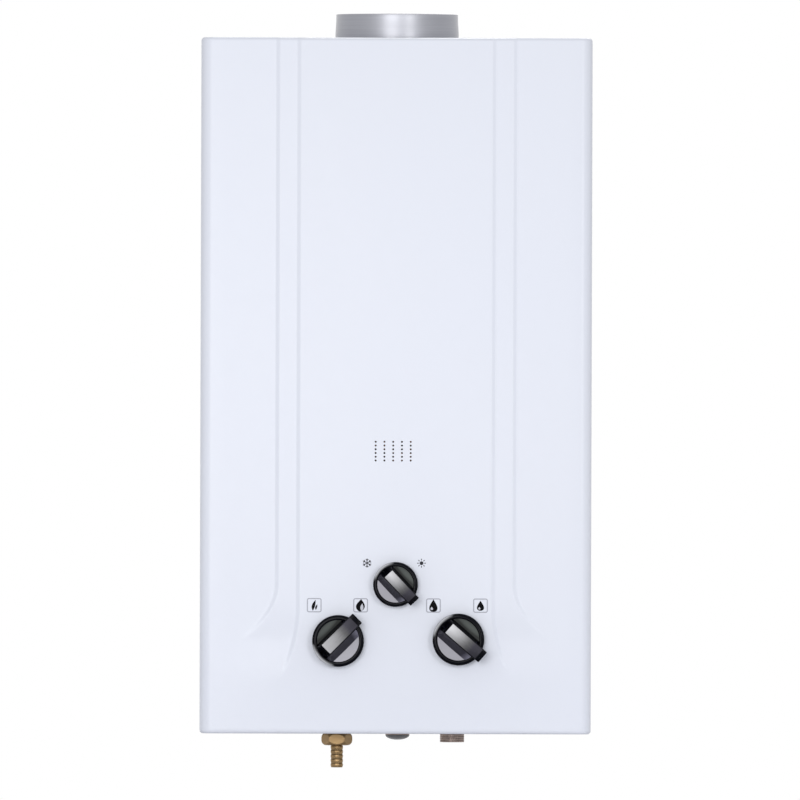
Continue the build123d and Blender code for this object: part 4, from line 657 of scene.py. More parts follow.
PLAIN_MAKERS = {
    "galvanised": galvanised,
    "copper_tube": copper_tube,
    "burner_steel": lambda name, shade: turned_metal(name, shade, (60.0, 60.0, 900.0), 0.15, 0.34),
    "die_casting": cast_metal,
    "machined_brass": lambda name, shade: turned_metal(name, shade, (70.0, 70.0, 900.0), 0.2, 0.28),
    "bright_stainless": lambda name, shade: turned_metal(name, shade, (300.0, 300.0, 300.0), 0.12, 0.24),
    "grey_moulding": moulding,
    "black_moulding": moulding,
    "zinc_plate": lambda name, shade: cast_metal(name, shade, 900.0, 0.34),
    "glazed_ceramic": glaze,
    "seal_rubber": lambda name, shade: moulding(name, shade, 0.7),
    "cell_jacket": lambda name, shade: moulding(name, shade, 0.3),
}


def new_piece(name, bm, material, body, nodes=(), smooth_angle=38.0):
    """Makes a named piece of a bmesh, riding on a body in place of the named nodes."""
    mesh = bpy.data.meshes.new(name)
    bm.to_mesh(mesh)
    bm.free()
    return piece_of(name, mesh, material, body, nodes, smooth_angle)


def piece_of(name, mesh, material, body, nodes=(), smooth_angle=38.0):
    """Makes a named piece of a mesh, riding on a body in place of the named nodes."""
    mesh.materials.clear()
    mesh.materials.append(material)
    mesh.shade_smooth()
    mesh.set_sharp_from_angle(angle=math.radians(smooth_angle))
    piece = bpy.data.objects.new(name, mesh)
    bpy.context.scene.collection.objects.link(piece)
    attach(piece, body)
    if nodes:
        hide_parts(*nodes)
    return piece


def points_of(geometry):
    """Vertices among the results of a mesh operator."""
    return [part for part in geometry if isinstance(part, bmesh.types.BMVert)]


def drop_between(edge):
    """Difference in height between an edge's ends."""
    return abs(edge.verts[0].co.z - edge.verts[1].co.z)


def middle_of(edge):
    """Middle of an edge."""
    return (edge.verts[0].co + edge.verts[1].co) / 2


def thicken(bm, run):
    """Draws a flat outline out by a run, into a closed block."""
    made = bmesh.ops.extrude_face_region(bm, geom=bm.faces[:])["geom"]
    bmesh.ops.translate(bm, verts=points_of(made), vec=run)
    bmesh.ops.recalc_face_normals(bm, faces=bm.faces[:])
    return bm


def lathe(outline, steps=96):
    """Closed solid of revolution about Z, from radius and height pairs in order round the section."""
    bm = bmesh.new()
    points = [bm.verts.new((radius, 0.0, height)) for radius, height in outline]
    sides = [bm.edges.new(pair) for pair in zip(points, points[1:] + points[:1])]
    bmesh.ops.spin(
        bm, geom=points + sides, cent=(0, 0, 0), axis=(0, 0, 1), angle=math.tau, steps=steps, use_merge=True
    )
    bmesh.ops.remove_doubles(bm, verts=bm.verts[:], dist=MERGE)
    bmesh.ops.dissolve_degenerate(bm, edges=bm.edges[:], dist=MERGE)
    bmesh.ops.recalc_face_normals(bm, faces=bm.faces[:])
    return bm


def arc(centre, radius, start, end, steps=6):
    """Points of a round stretch of a section, angles in degrees."""
    turns = [math.radians(start + (end - start) * step / steps) for step in range(steps + 1)]
    return [(centre[0] + radius * math.cos(turn), centre[1] + radius * math.sin(turn)) for turn in turns]


def soften(bm, edges, width, segments=3):
    """Rounds edges."""
    bmesh.ops.bevel(
        bm, geom=list(edges), offset=width, offset_type="OFFSET", segments=segments, profile=0.5,
        affect="EDGES", material=-1, clamp_overlap=True,
    )


def box_mesh(low, high):
    """Plain block between two corners, to be shaped further."""
    bm = bmesh.new()
    size = Vector(high) - Vector(low)
    middle = (Vector(high) + Vector(low)) / 2
    bmesh.ops.create_cube(bm, size=1.0, matrix=Matrix.Translation(middle) @ Matrix.Diagonal((*size, 1.0)))
    return bm


def held(value):
    """Number held between 0 and 1."""
    return max(0.0, min(1.0, value))


def smooth_ramp(value):
    """Soft rise from 0 to 1."""
    return held(value) ** 2 * (3.0 - 2.0 * held(value))


def panel_rise(cover, x, z):
    """How far the pressed panel stands forward at a place: two steps that flare and fade towards the foot."""
    height = z - COVER_LOW.z
    flat = COVER_HIGH.x - cover.edge_radius
    outer = held((cover.outer_from - height) / (cover.outer_from - cover.outer_end))
    inner = held((cover.inner_from - height) / (cover.inner_from - cover.inner_end))
    middle = 2 * cover.step_rise * (1.0 - smooth_ramp(1.0 - height / cover.inner_from))
    both = middle * (1.0 - smooth_ramp(inner**2))
    first = min(both, cover.step_rise * (1.0 - smooth_ramp(outer**2)))
    outer_foot = cover.outer_line + cover.outer_flare * outer**2 + cover.step_run / 2
    inner_foot = cover.inner_line + cover.inner_flare * inner**2 + cover.step_run / 2
    rise = (middle - both) * held((flat - abs(x)) / (flat - cover.outer_line))
    rise += first * held((outer_foot - abs(x)) / cover.step_run)
    return rise + (both - first) * held((inner_foot - abs(x)) / cover.step_run)


def cut_columns(bm, places, axis):
    """Cuts a mesh through at each place along an axis."""
    normal = Vector((0, 0, 0))
    normal[axis] = 1.0
    for place in places:
        geometry = bm.verts[:] + bm.edges[:] + bm.faces[:]
        bmesh.ops.bisect_plane(bm, geom=geometry, dist=MERGE, plane_co=normal * place, plane_no=normal)


def spread(start, end, step):
    """Evenly spaced places from start to end, about a step apart."""
    count = max(1, round(abs(end - start) / step))
    return [start + (end - start) * index / count for index in range(count + 1)]


def cover_block(cover):
    """Rounded block of the casing, open at the back."""
    panel = COVER_LOW.y + 2 * cover.step_rise
    bm = box_mesh((COVER_LOW.x, panel, COVER_LOW.z), (COVER_HIGH.x, COVER_HIGH.y, COVER_HIGH.z))
    upright = [
        edge for edge in bm.edges
        if drop_between(edge) > cover.sheet and edge.verts[0].co.y < panel + cover.sheet
    ]
    soften(bm, upright, cover.edge_radius, 10)
    rims = [
        edge for edge in bm.edges
        if drop_between(edge) < MERGE and min(vert.co.y for vert in edge.verts) < COVER_HIGH.y - cover.sheet
    ]
    soften(bm, rims, cover.rim_radius, 5)
    rear = [face for face in bm.faces if face.calc_center_median().y > COVER_HIGH.y - cover.sheet]
    bmesh.ops.delete(bm, geom=rear, context="FACES")
    return bm


def open_below(bm, cover):
    """Cuts the foot of the cover open inside its lip."""
    lip_x = COVER_HIGH.x - cover.lip
    lip_y = COVER_LOW.y + 2 * cover.step_rise + cover.lip
    cut_columns(bm, (-lip_x, lip_x), 0)
    cut_columns(bm, (lip_y,), 1)
    inside = []
    for face in bm.faces:
        middle = face.calc_center_median()
        if abs(middle.z - COVER_LOW.z) < 10 * MERGE and abs(middle.x) < lip_x and middle.y > lip_y:
            inside.append(face)
    bmesh.ops.delete(bm, geom=inside, context="FACES")


def press_steps(bm, cover):
    """Cuts the front fine enough for the pressed steps and moves them forward."""
    panel = COVER_LOW.y + 2 * cover.step_rise
    innermost = cover.inner_line - cover.step_run
    outermost = cover.outer_line + cover.outer_flare + cover.step_run
    columns = spread(innermost, outermost, cover.step_run / 5)
    cut_columns(bm, [sign * place for place in columns for sign in (-1, 1)], 0)
    lowest, highest = COVER_LOW.z + cover.rim_radius, COVER_LOW.z + cover.outer_from
    cut_columns(bm, spread(lowest, highest, cover.step_run / 2), 2)
    for vert in bm.verts:
        depth = vert.co.y - panel
        if depth < cover.rim_radius:
            share = 1.0 - smooth_ramp(depth / cover.rim_radius)
            vert.co.y -= share * panel_rise(cover, vert.co.x, vert.co.z)


def hole_cutters(cover):
    """Closed cutters for the knob holes, view holes and screw holes."""
    bm = bmesh.new()

    def round_cutter(place, diameter, depth, turn, segments):
        matrix = Matrix.Translation(place) @ turn
        bmesh.ops.create_cone(
            bm, cap_ends=True, segments=segments, radius1=diameter / 2, radius2=diameter / 2, depth=depth,
            matrix=matrix,
        )

    depth = 4 * cover.edge_radius
    for joint, *_ in KNOBS.values():
        place = JOINTS[joint]["pos_m"]
        round_cutter((place[0], COVER_LOW.y, place[2]), cover.knob_hole, depth, FRONTWARD, 64)
    for column in range(cover.view_columns):
        for row in range(cover.view_rows):
            x = cover.view_x + (column - (cover.view_columns - 1) / 2) * cover.view_column_pitch
            z = COVER_LOW.z + cover.view_height + (row - (cover.view_rows - 1) / 2) * cover.view_row_pitch
            round_cutter((x, COVER_LOW.y, z), cover.view_hole, depth, FRONTWARD, 16)
    for side in (-1, 1):
        place = (side * cover.screw_x, -cover.screw_setback, COVER_LOW.z)
        round_cutter(place, cover.screw_hole, 3 * cover.rim_radius, Matrix.Identity(4), 24)
    return bm


def notch_cutter(cover):
    """Closed cutter for the notch that the flue collar passes through."""
    low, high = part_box("flue_collar")
    flue = bpy.context.scene.heater_flue
    middle_y = (low.y + high.y) / 2
    radius = flue.lower_radius + cover.notch_gap
    bm = bmesh.new()
    ring = bmesh.ops.create_circle(bm, cap_ends=False, radius=radius, segments=96)["verts"]
    for vert in ring:
        if vert.co.y > 0:
            vert.co.y = 4 * cover.edge_radius + radius
            vert.co.x = math.copysign(radius, vert.co.x) if abs(vert.co.x) > radius * 0.5 else vert.co.x
        vert.co.y += middle_y
        vert.co.z = COVER_HIGH.z - cover.rim_radius
    bmesh.ops.remove_doubles(bm, verts=bm.verts[:], dist=MERGE)
    bmesh.ops.contextual_create(bm, geom=bm.edges[:])
    return thicken(bm, (0.0, 0.0, 3 * cover.rim_radius))


def loose_object(name, bm):
    """Object of a bmesh that is only a step on the way to a piece."""
    mesh = bpy.data.meshes.new(name)
    bm.to_mesh(mesh)
    bm.free()
    made = bpy.data.objects.new(name, mesh)
    bpy.context.scene.collection.objects.link(made)
    return made


def combine(worked, operation, helper):
    """Adds a Boolean step with another object."""
    step = worked.modifiers.new(helper.name, "BOOLEAN")
    step.operation = operation
    step.solver = "EXACT"
    step.object = helper


def settled_mesh(name, worked, helpers):
    """Mesh with its modifiers applied; the step objects are removed."""
    graph = bpy.context.evaluated_depsgraph_get()
    mesh = bpy.data.meshes.new_from_object(worked.evaluated_get(graph))
    mesh.name = name
    for helper in [worked, *helpers]:
        bpy.data.objects.remove(helper)
    return mesh


def reopened(mesh):
    """A settled mesh taken back into a bmesh, to be shaped further."""
    bm = bmesh.new()
    bm.from_mesh(mesh)
    bpy.data.meshes.remove(mesh)
    return bm


class HEATER_OT_cover(bpy.types.Operator):
    """Press the front cover with its flaring steps, holes, notch and lip"""

    bl_idname = "heater.cover"
    bl_label = "Front cover"

    def execute(self, context):
        cover = context.scene.heater_cover
        bm = cover_block(cover)
        open_below(bm, cover)
        press_steps(bm, cover)
        bmesh.ops.recalc_face_normals(bm, faces=bm.faces[:])
        shell = loose_object("cover_shell", bm)
        wall = shell.modifiers.new("sheet", "SOLIDIFY")
        wall.thickness = cover.sheet
        wall.offset = -1.0
        wall.use_even_offset = True
        holes = loose_object("cover_holes", hole_cutters(cover))
        cutters = [holes, loose_object("cover_notch", notch_cutter(cover))]
        for cutter in cutters:
            combine(shell, "DIFFERENCE", cutter)
        mesh = settled_mesh("casing_cover", shell, cutters)
        piece_of("casing_cover", mesh, enamel(cover.paint), CASING, ["front_cover"], 30.0)
        return {"FINISHED"}


def plan_map(bm, radius):
    """Gives a knob's piece its own map, along and across the pointer in units of the radius."""
    layer = bm.loops.layers.uv.new("plan")
    for face in bm.faces:
        for loop in face.loops:
            loop[layer].uv = (loop.vert.co.x / radius, loop.vert.co.y / radius)


def knob_skirt(knob):
    """Skirt about Z with a rounded rim, a shallow dish and a hollow back."""
    radius, rim = knob.radius, knob.rim_round
    floor = knob.skirt - knob.dish
    edge = radius - knob.rim
    inner = radius - knob.wall
    outline = [(0.0, knob.hollow), (inner, knob.hollow), (inner, 0.0), (radius, 0.0)]
    outline += arc((radius - rim, knob.skirt - rim), rim, 0, 90)
    outline += arc((edge + rim / 4, knob.skirt - rim / 4), rim / 4, 90, 180, 4)
    outline += [(edge - knob.dish / 4, floor), (0.0, floor)]
    return lathe(outline)


def knob_plate(knob):
    """Thin concave plate that lines the dish."""
    radius = knob.radius - knob.rim - knob.dish / 4
    floor = knob.skirt - knob.dish
    sag = knob.dish / 2
    top = [(radius * share, floor + sag * (0.25 + 0.75 * share**2)) for share in spread(1.0, 0.0, 1 / 8)]
    return lathe(top + [(0.0, floor - sag / 4), (radius, floor - sag / 4)])


def knob_bar(knob):
    """Pointer bar along +X, left of the axis, with its steep and its broad flank."""
    dish = knob.radius - knob.rim
    foot, crest = knob.skirt - knob.dish, knob.rise - 2 * knob.bar_round
    left, right = bar_sides(knob)
    flanks = box_mesh((-dish, right - knob.flank_right, foot), (dish, left + knob.flank_left, crest))
    for vert in flanks.verts:
        if vert.co.z > knob.skirt:
            vert.co.x = max(vert.co.x, knob.seam - knob.tail)
            vert.co.y = min(max(vert.co.y, right + knob.seam), left - knob.seam)
    bar = box_mesh((-knob.tail, right, foot), (knob.reach, left, knob.rise))
    soften(bar, bar.edges[:], knob.bar_round)
    round_edge = bmesh.new()
    bmesh.ops.create_cone(
        round_edge, cap_ends=True, segments=128, radius1=dish, radius2=dish, depth=4 * knob.rise
    )
    pointer = loose_object("pointer_flanks", flanks)
    steps = [loose_object("pointer_limit", round_edge), loose_object("pointer_bar", bar)]
    combine(pointer, "INTERSECT", steps[0])
    combine(pointer, "UNION", steps[1])
    return reopened(settled_mesh("pointer", pointer, steps))


def knob_cap(knob):
    """Silvered plate let into the top of the bar."""
    left, right = bar_sides(knob)
    low = (knob.cap_edge - knob.tail, right + knob.cap_edge, knob.rise - knob.cap / 2)
    high = (knob.reach - knob.cap_end, left - knob.cap_edge, knob.rise + knob.cap / 2)
    bm = box_mesh(low, high)
    soften(bm, [edge for edge in bm.edges if drop_between(edge) > knob.cap / 2], knob.cap_edge)
    soften(bm, [edge for edge in bm.edges if edge.calc_face_angle() > 1.0], knob.cap / 4, 2)
    return bm


class HEATER_OT_knobs(bpy.types.Operator):
    """Turn the three control knobs with their dish plates and silvered pointers"""

    bl_idname = "heater.knobs"
    bl_label = "Control knobs"

    def execute(self, context):
        knob = context.scene.heater_knobs
        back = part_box("gas_knob")[1].y
        rows = (
            ("skirt", knob_skirt, gloss_black(knob, back)), ("dish", knob_plate, dish_plate(knob)),
            ("pointer", knob_bar, pointer_black(knob)), ("pointer_cap", knob_cap, silvered_bar(knob)),
        )
        for name, (joint, body, node, angle, size) in KNOBS.items():
            place = JOINTS[joint]["pos_m"]
            turn = FRONTWARD @ Matrix.Rotation(math.radians(angle), 4, "Z")
            move = Matrix.Translation((place[0], back, place[2])) @ turn
            move = move @ Matrix.Diagonal((size, size, 1.0, 1.0))
            for part, make, material in rows:
                bm = make(knob)
                plan_map(bm, knob.radius)
                bmesh.ops.transform(bm, matrix=move, verts=bm.verts[:])
                stands_for = [node] if part == "skirt" else []
                new_piece(f"{name}_{part}", bm, material, body, stands_for)
        return {"FINISHED"}


def drop_outline(size, width, height, place=(0.0, 0.0), lean=0.0, taper=0.0):
    """Outline of a drop or a flame in shares of a size: its point up and leaning, its foot tapered."""
    bm = bmesh.new()
    bmesh.ops.create_circle(bm, cap_ends=True, radius=1.0, segments=40)
    for vert in bm.verts:
        turn = math.atan2(vert.co.x, vert.co.y)
        up = math.cos(turn)
        side = math.sin(turn) * math.sin(abs(turn) / 2) ** DROP_SHARPNESS / DROP_WIDTH
        side *= 1.0 - taper * (0.5 - up / 2) ** 2
        x = place[0] + side * width + lean * ((up + 1) / 2) ** 2
        vert.co = (size * x, 0.0, size * (place[1] + up * height / 2))
    return bm


def frame_outline(marks):
    """Rounded frame."""
    bm = bmesh.new()
    size = Matrix.Diagonal((marks.frame_width, marks.frame_height, 1.0, 1.0))
    bmesh.ops.create_grid(bm, x_segments=1, y_segments=1, size=0.5, matrix=FRONTWARD @ size)
    bmesh.ops.bevel(
        bm, geom=bm.verts[:], offset=marks.frame_corner, offset_type="OFFSET", segments=6, profile=0.5,
        affect="VERTICES", material=-1,
    )
    line = bmesh.ops.inset_region(
        bm, faces=bm.faces[:], thickness=marks.frame_line, use_boundary=True, use_even_offset=True
    )["faces"]
    bmesh.ops.delete(bm, geom=[face for face in bm.faces if face not in line], context="FACES")
    return bm


def strip(bm, start, end, width):
    """Adds a flat straight stroke between two places in X and Z."""
    run = Vector((end[0] - start[0], 0.0, end[1] - start[1]))
    middle = Vector(((start[0] + end[0]) / 2, 0.0, (start[1] + end[1]) / 2))
    turn = Matrix.Rotation(-math.atan2(run.z, run.x), 4, "Y")
    size = Matrix.Diagonal((run.length, 1.0, width, 1.0))
    matrix = Matrix.Translation(middle) @ turn @ size @ FRONTWARD
    bmesh.ops.create_grid(bm, x_segments=1, y_segments=1, size=0.5, matrix=matrix)


def drawn_out(bm, edge, run):
    """Draws an edge out by a run, and gives the new edge and the two edges beside the new face."""
    made = bmesh.ops.extrude_edge_only(bm, edges=[edge])["geom"]
    points = points_of(made)
    bmesh.ops.translate(bm, verts=points, vec=run)
    face = next(part for part in made if isinstance(part, bmesh.types.BMFace))
    far = next(side for side in face.edges if all(vert in points for vert in side.verts))
    return far, [side for side in face.edges if side not in (edge, far)]


def snow_mark(size):
    """Six-armed star with slanting side strokes, drawn out of a six-sided hub, for the cold season."""
    bm = bmesh.new()
    line = size * SEASON_LINE
    turn = FRONTWARD @ Matrix.Rotation(math.radians(30), 4, "Z")
    bmesh.ops.create_circle(bm, cap_ends=True, radius=line, segments=6, matrix=turn)
    for edge in bm.edges[:]:
        out = middle_of(edge).normalized()
        knee, _ = drawn_out(bm, edge, out * size * SNOW_KNEE)
        bend, sides = drawn_out(bm, knee, out * line / math.sin(SNOW_SLANT))
        drawn_out(bm, bend, out * (size / 2 - middle_of(bend).length))
        for side in sides:
            middle = middle_of(side)
            across = (middle - out * middle.dot(out)).normalized()
            slant = out * math.cos(SNOW_SLANT) + across * math.sin(SNOW_SLANT)
            drawn_out(bm, side, slant * size * SNOW_BRANCH)
    return bm


def sun_mark(size):
    """Disc with eight rays, for the warm season."""
    bm = bmesh.new()
    bmesh.ops.create_circle(bm, cap_ends=True, radius=size * SUN_DISC, segments=32, matrix=FRONTWARD)
    for ray in range(8):
        angle = math.radians(45 * ray)
        aim = Vector((math.cos(angle), math.sin(angle))) * size
        strip(bm, aim * SUN_RAY_FROM, aim * SUN_RAY_TO, size * SEASON_LINE)
    return bm


def print_mark(name, bm, place, material, panel, thickness):
    """Lays a flat mark on the panel as a thin coat of ink."""
    bmesh.ops.translate(bm, verts=bm.verts[:], vec=(place[0], 0.0, place[1]))
    for vert in bm.verts:
        hit = panel.ray_cast(Vector((vert.co.x, -1.0, vert.co.z)), Vector((0.0, 1.0, 0.0)))[0]
        if hit is None:
            raise RuntimeError(f"{name} lies off the panel")
        vert.co.y = hit.y - thickness
    bmesh.ops.recalc_face_normals(bm, faces=bm.faces[:])
    new_piece(name, thicken(bm, (0.0, 2 * thickness, 0.0)), material, CASING)


class HEATER_OT_marks(bpy.types.Operator):
    """Print the flame, drop and season marks on the panel"""

    bl_idname = "heater.marks"
    bl_label = "Printed marks"

    def execute(self, context):
        marks = context.scene.heater_marks
        cover = bpy.data.objects["casing_cover"].data
        panel = BVHTree.FromPolygons([v.co for v in cover.vertices], [p.vertices for p in cover.polygons])
        inks = {name: printing_ink(name, getattr(marks, name)) for name in INKS}
        row = COVER_LOW.z + marks.row_height
        for name, (x, height, outer, inner, inner_ink) in FRAMED_MARKS.items():
            size = getattr(marks, height)
            layers = (
                ("frame", frame_outline(marks), "frame_ink", 1),
                ("mark", drop_outline(size, *outer), "mark_ink", 1),
                ("tongue", drop_outline(size, *inner), inner_ink, 2),
            )
            for layer, bm, ink, coats in layers:
                print_mark(f"{name}_{layer}", bm, (x, row), inks[ink], panel, coats * marks.thickness)
        upper = COVER_LOW.z + marks.season_height
        stars = {"winter": snow_mark(marks.season_symbol), "summer": sun_mark(marks.season_symbol)}
        for name, x in SEASON_PLACES.items():
            print_mark(f"{name}_mark", stars[name], (x, upper), inks["season_ink"], panel, marks.thickness)
        return {"FINISHED"}


class HEATER_OT_flue(bpy.types.Operator):
    """Spin the flue collar with its two bands and rolled top edge"""

    bl_idname = "heater.flue"
    bl_label = "Flue collar"

    def execute(self, context):
        flue = context.scene.heater_flue
        low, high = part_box("flue_collar")
        lower, upper, wall = flue.lower_radius, flue.upper_radius, flue.wall
        foot = COVER_HIGH.z + flue.step_height - flue.step_length / 2
        head = foot + flue.step_length
        outline = [(lower - wall, low.z), (lower + flue.flange, low.z), (lower + flue.flange, low.z + wall)]
        outline += [(lower + wall / 2, low.z + wall), (lower, low.z + 1.5 * wall)]
        for z in spread(foot, head, flue.step_length / 8):
            outline.append((lower + (upper - lower) * smooth_ramp((z - foot) / flue.step_length), z))
        outline += arc((upper - wall / 2, high.z - wall / 2), wall / 2, 0, 180, 8)
        outline += [(upper - wall, head), (lower - wall, foot)]
        bm = lathe(outline, 160)
        bmesh.ops.translate(bm, verts=bm.verts[:], vec=(0.0, (low.y + high.y) / 2, 0.0))
        metal = turned_metal("spun_aluminium", flue.metal, (8.0, 8.0, 1500.0), 0.26, 0.37, 0.55)
        new_piece("flue_spigot", bm, metal, CASING, ["flue_collar"])
        return {"FINISHED"}


def nut_mesh(fittings, low, high):
    """Hexagon nut whose corners are turned round above and below."""
    flat = fittings.nut_flats / 2
    corner = flat / math.cos(math.radians(30))
    turned = fittings.nut_round
    bore, lip = fittings.rib_crest + fittings.fit, low + fittings.nut_lip
    outline = [(fittings.nut_thread, lip), (bore, lip), (bore, low)]
    outline += arc((corner - turned, low + turned), turned, -90, 0, 8)
    outline += arc((corner - turned, high - turned), turned, 0, 90, 8)
    bm = lathe(outline + [(fittings.nut_thread, high)])
    for vert in bm.verts:
        radius = math.hypot(vert.co.x, vert.co.y)
        turn = math.atan2(vert.co.y, vert.co.x) % math.radians(60)
        hexagon = flat / math.cos(turn - math.radians(30))
        if radius > hexagon:
            vert.co.x *= hexagon / radius
            vert.co.y *= hexagon / radius
    return bm


def tail_mesh(fittings, low, neck, seat, collar):
    """Hose tail: collar inside the nut, neck, ribs and a rounded mouth."""
    crest, root, bore, mouth = fittings.rib_crest, fittings.rib_root, fittings.tail_bore, fittings.tail_round
    lip = neck + fittings.nut_lip
    pitch = (neck - low) / fittings.rib_count
    outline = [(bore, seat), (collar, seat), (collar, lip), (crest, lip), (crest, neck)]
    for rib in range(fittings.rib_count):
        top = neck - pitch * rib
        land = top - fittings.rib_rise
        outline += [(root, top), (crest, land), (crest, land - fittings.rib_land)]
    outline += arc((root - mouth, low + mouth), mouth, 0, -90, 4)
    return lathe(outline + [(bore, low)])


class HEATER_OT_gas_tail(bpy.types.Operator):
    """Turn the union nut and the ribbed hose tail of the gas inlet"""

    bl_idname = "heater.gas_tail"
    bl_label = "Gas nut and hose tail"

    def execute(self, context):
        fittings = context.scene.heater_fittings
        brass = turned_metal("toned_brass", fittings.brass, (90.0, 90.0, 1100.0), 0.28, 0.32)
        nut_low, nut_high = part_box("gas_union_nut")
        tail_low, tail_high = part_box("hose_barb")
        middle = ((nut_low.x + nut_high.x) / 2, (nut_low.y + nut_high.y) / 2, 0.0)
        collar = (tail_high.x - tail_low.x) / 2
        nut = nut_mesh(fittings, nut_low.z, nut_high.z - fittings.nut_ease)
        tail = tail_mesh(fittings, tail_low.z, nut_low.z, tail_high.z, collar)
        for name, bm, node in (("gas_nut", nut, "gas_union_nut"), ("gas_hose_tail", tail, "hose_barb")):
            bmesh.ops.translate(bm, verts=bm.verts[:], vec=middle)
            new_piece(name, bm, brass, CASING, [node])
        return {"FINISHED"}


def connection_mesh(fittings, low, high):
    """Water connection: ring threads, a flange on the bottom plate and a plain neck."""
    bore, depth, pitch = fittings.water_bore, fittings.thread_depth, fittings.thread_pitch
    flange = (high.x - low.x) / 2
    radius = flange - fittings.flange
    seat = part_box("battery_box")[0].z
    top = seat + fittings.flange_thick
    outline = [(bore, low.z), (radius - 2 * depth, low.z)]
    for turn in range(int((seat - low.z) / pitch)):
        z = low.z + pitch * turn
        outline += [(radius - depth * sunk, z + pitch * share) for share, sunk in THREAD_SHAPE]
    outline += [(radius, seat), (flange, seat), (flange, top), (radius, top)]
    return lathe(outline + [(radius, high.z), (bore, high.z)])


def plug_mesh(fittings, low, high):
    """Domed plug with a short shank in the hot outlet's bore."""
    head, dome = (high.x - low.x) / 2, fittings.plug_dome
    shank = fittings.water_bore - fittings.fit
    bowl = [(head * x, low.z + dome * (1.0 + z)) for x, z in arc((0.0, 0.0), 1.0, -90, 0, 16)]
    return lathe(bowl + [(shank, low.z + dome), (shank, high.z), (0.0, high.z)])


class HEATER_OT_water_ends(bpy.types.Operator):
    """Turn the cold inlet, the hot outlet and its domed plug"""

    bl_idname = "heater.water_ends"
    bl_label = "Water connections"

    def execute(self, context):
        fittings = context.scene.heater_fittings
        brass = turned_metal("brown_brass", fittings.dull_brass, (120.0, 120.0, 700.0), 0.25, 0.28)
        grey = moulding("plug_grey", fittings.plug_grey, 0.14)
        rows = (
            ("cold_connection", "cold_inlet_stub", connection_mesh, brass, "brass"),
            ("hot_connection", "hot_outlet_stub", connection_mesh, brass, "brass"),
            ("hot_plug", "outlet_plug", plug_mesh, grey, "grey_plastic"),
        )
        for name, node, make, material, slot in rows:
            low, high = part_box(node)
            bm = make(fittings, low, high)
            bmesh.ops.translate(bm, verts=bm.verts[:], vec=((low.x + high.x) / 2, (low.y + high.y) / 2, 0.0))
            new_piece(name, bm, material, CASING, [node])
        return {"FINISHED"}


class HEATER_OT_finishes(bpy.types.Operator):
    """Give every node that keeps its own mesh its finish"""

    bl_idname = "heater.finishes"
    bl_label = "Finishes of the inner pieces"

    def execute(self, context):
        record = frame["record"]
        shades = {row["slot"]: tuple(row["base_color"][:3]) for row in record["materials"]}
        made = {}
        for row in record["subparts"]:
            node = frame["nodes"][row["node"]]
            slot = row["material_slot"]
            if node.hide_render or slot not in PLAIN_FINISHES:
                continue
            if slot not in made:
                name = PLAIN_FINISHES[slot]
                made[slot] = PLAIN_MAKERS[name](name, shades[slot])
            node.data.materials.clear()
            node.data.materials.append(made[slot])
        return {"FINISHED"}


def cross_cutter(trim, foot):
    """Cross-shaped cutter about Z that reaches the recess's depth above the head's foot."""
    bm = bmesh.new()
    bmesh.ops.create_grid(bm, x_segments=3, y_segments=3, size=1.5)
    corners = [face for face in bm.faces if min(abs(part) for part in face.calc_center_median().xy) > 0.5]
    bmesh.ops.delete(bm, geom=corners, context="FACES")
    for vert in bm.verts:
        for axis in (0, 1):
            span = trim.recess_length if abs(vert.co[axis]) > 1.0 else trim.recess_width
            vert.co[axis] = math.copysign(span / 2, vert.co[axis])
        vert.co.z = foot - trim.recess_depth
    return thicken(bm, (0.0, 0.0, 2 * trim.recess_depth))


def screw_mesh(trim, top):
    """Pan-headed screw about Z with its head below and a cross recess."""
    seat, radius = COVER_LOW.z, trim.head_radius
    wall = trim.head_height / 3
    dome = trim.head_height - wall
    outline = [(0.0, top), (trim.shank_radius, top), (trim.shank_radius, seat), (radius, seat)]
    outline += [(radius * x, seat - wall + dome * z) for x, z in arc((0, 0), 1.0, 0, -90, 10)]
    steps = 44  # no meridian then runs into a corner of the recess
    screw = loose_object("screw", lathe(outline, steps))
    recess = loose_object("recess", cross_cutter(trim, seat - trim.head_height))
    combine(screw, "DIFFERENCE", recess)
    return reopened(settled_mesh("screw", screw, [recess]))


class HEATER_OT_screws(bpy.types.Operator):
    """Drive the two cross-headed screws through the cover's lip"""

    bl_idname = "heater.screws"
    bl_label = "Cover screws"

    def execute(self, context):
        cover = context.scene.heater_cover
        bm = screw_mesh(context.scene.heater_trim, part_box("cover_screws")[1].z)
        bmesh.ops.translate(bm, verts=bm.verts[:], vec=(-cover.screw_x, -cover.screw_setback, 0.0))
        twin = bmesh.ops.duplicate(bm, geom=bm.verts[:] + bm.edges[:] + bm.faces[:])["geom"]
        bmesh.ops.translate(bm, verts=points_of(twin), vec=(2 * cover.screw_x, 0.0, 0.0))
        steel = bpy.data.materials["bright_stainless"]
        new_piece("lip_screws", bm, steel, CASING, ["cover_screws"])
        return {"FINISHED"}


class HEATER_OT_lid_ribs(bpy.types.Operator):
    """Raise the grip ribs on the battery lid"""

    bl_idname = "heater.lid_ribs"
    bl_label = "Battery lid ribs"

    def execute(self, context):
        trim = context.scene.heater_trim
        low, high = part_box("battery_lid")
        face = low.z + trim.knuckle - trim.lid_thick
        middle = (low.x + high.x) / 2
        ribs = bmesh.new()
        for rib in range(trim.rib_count):
            y = low.y + trim.rib_setback + rib * trim.rib_pitch
            place = Matrix.Translation((middle, y, face))
            size = Matrix.Diagonal((trim.rib_length, trim.rib_width, 2 * trim.rib_rise, 1.0))
            bmesh.ops.create_cube(ribs, size=1.0, matrix=place @ size)
        soften(ribs, ribs.edges[:], trim.rib_rise / 2)
        new_piece("lid_grip", ribs, bpy.data.materials["grey_moulding"], LID_BODY)
        return {"FINISHED"}


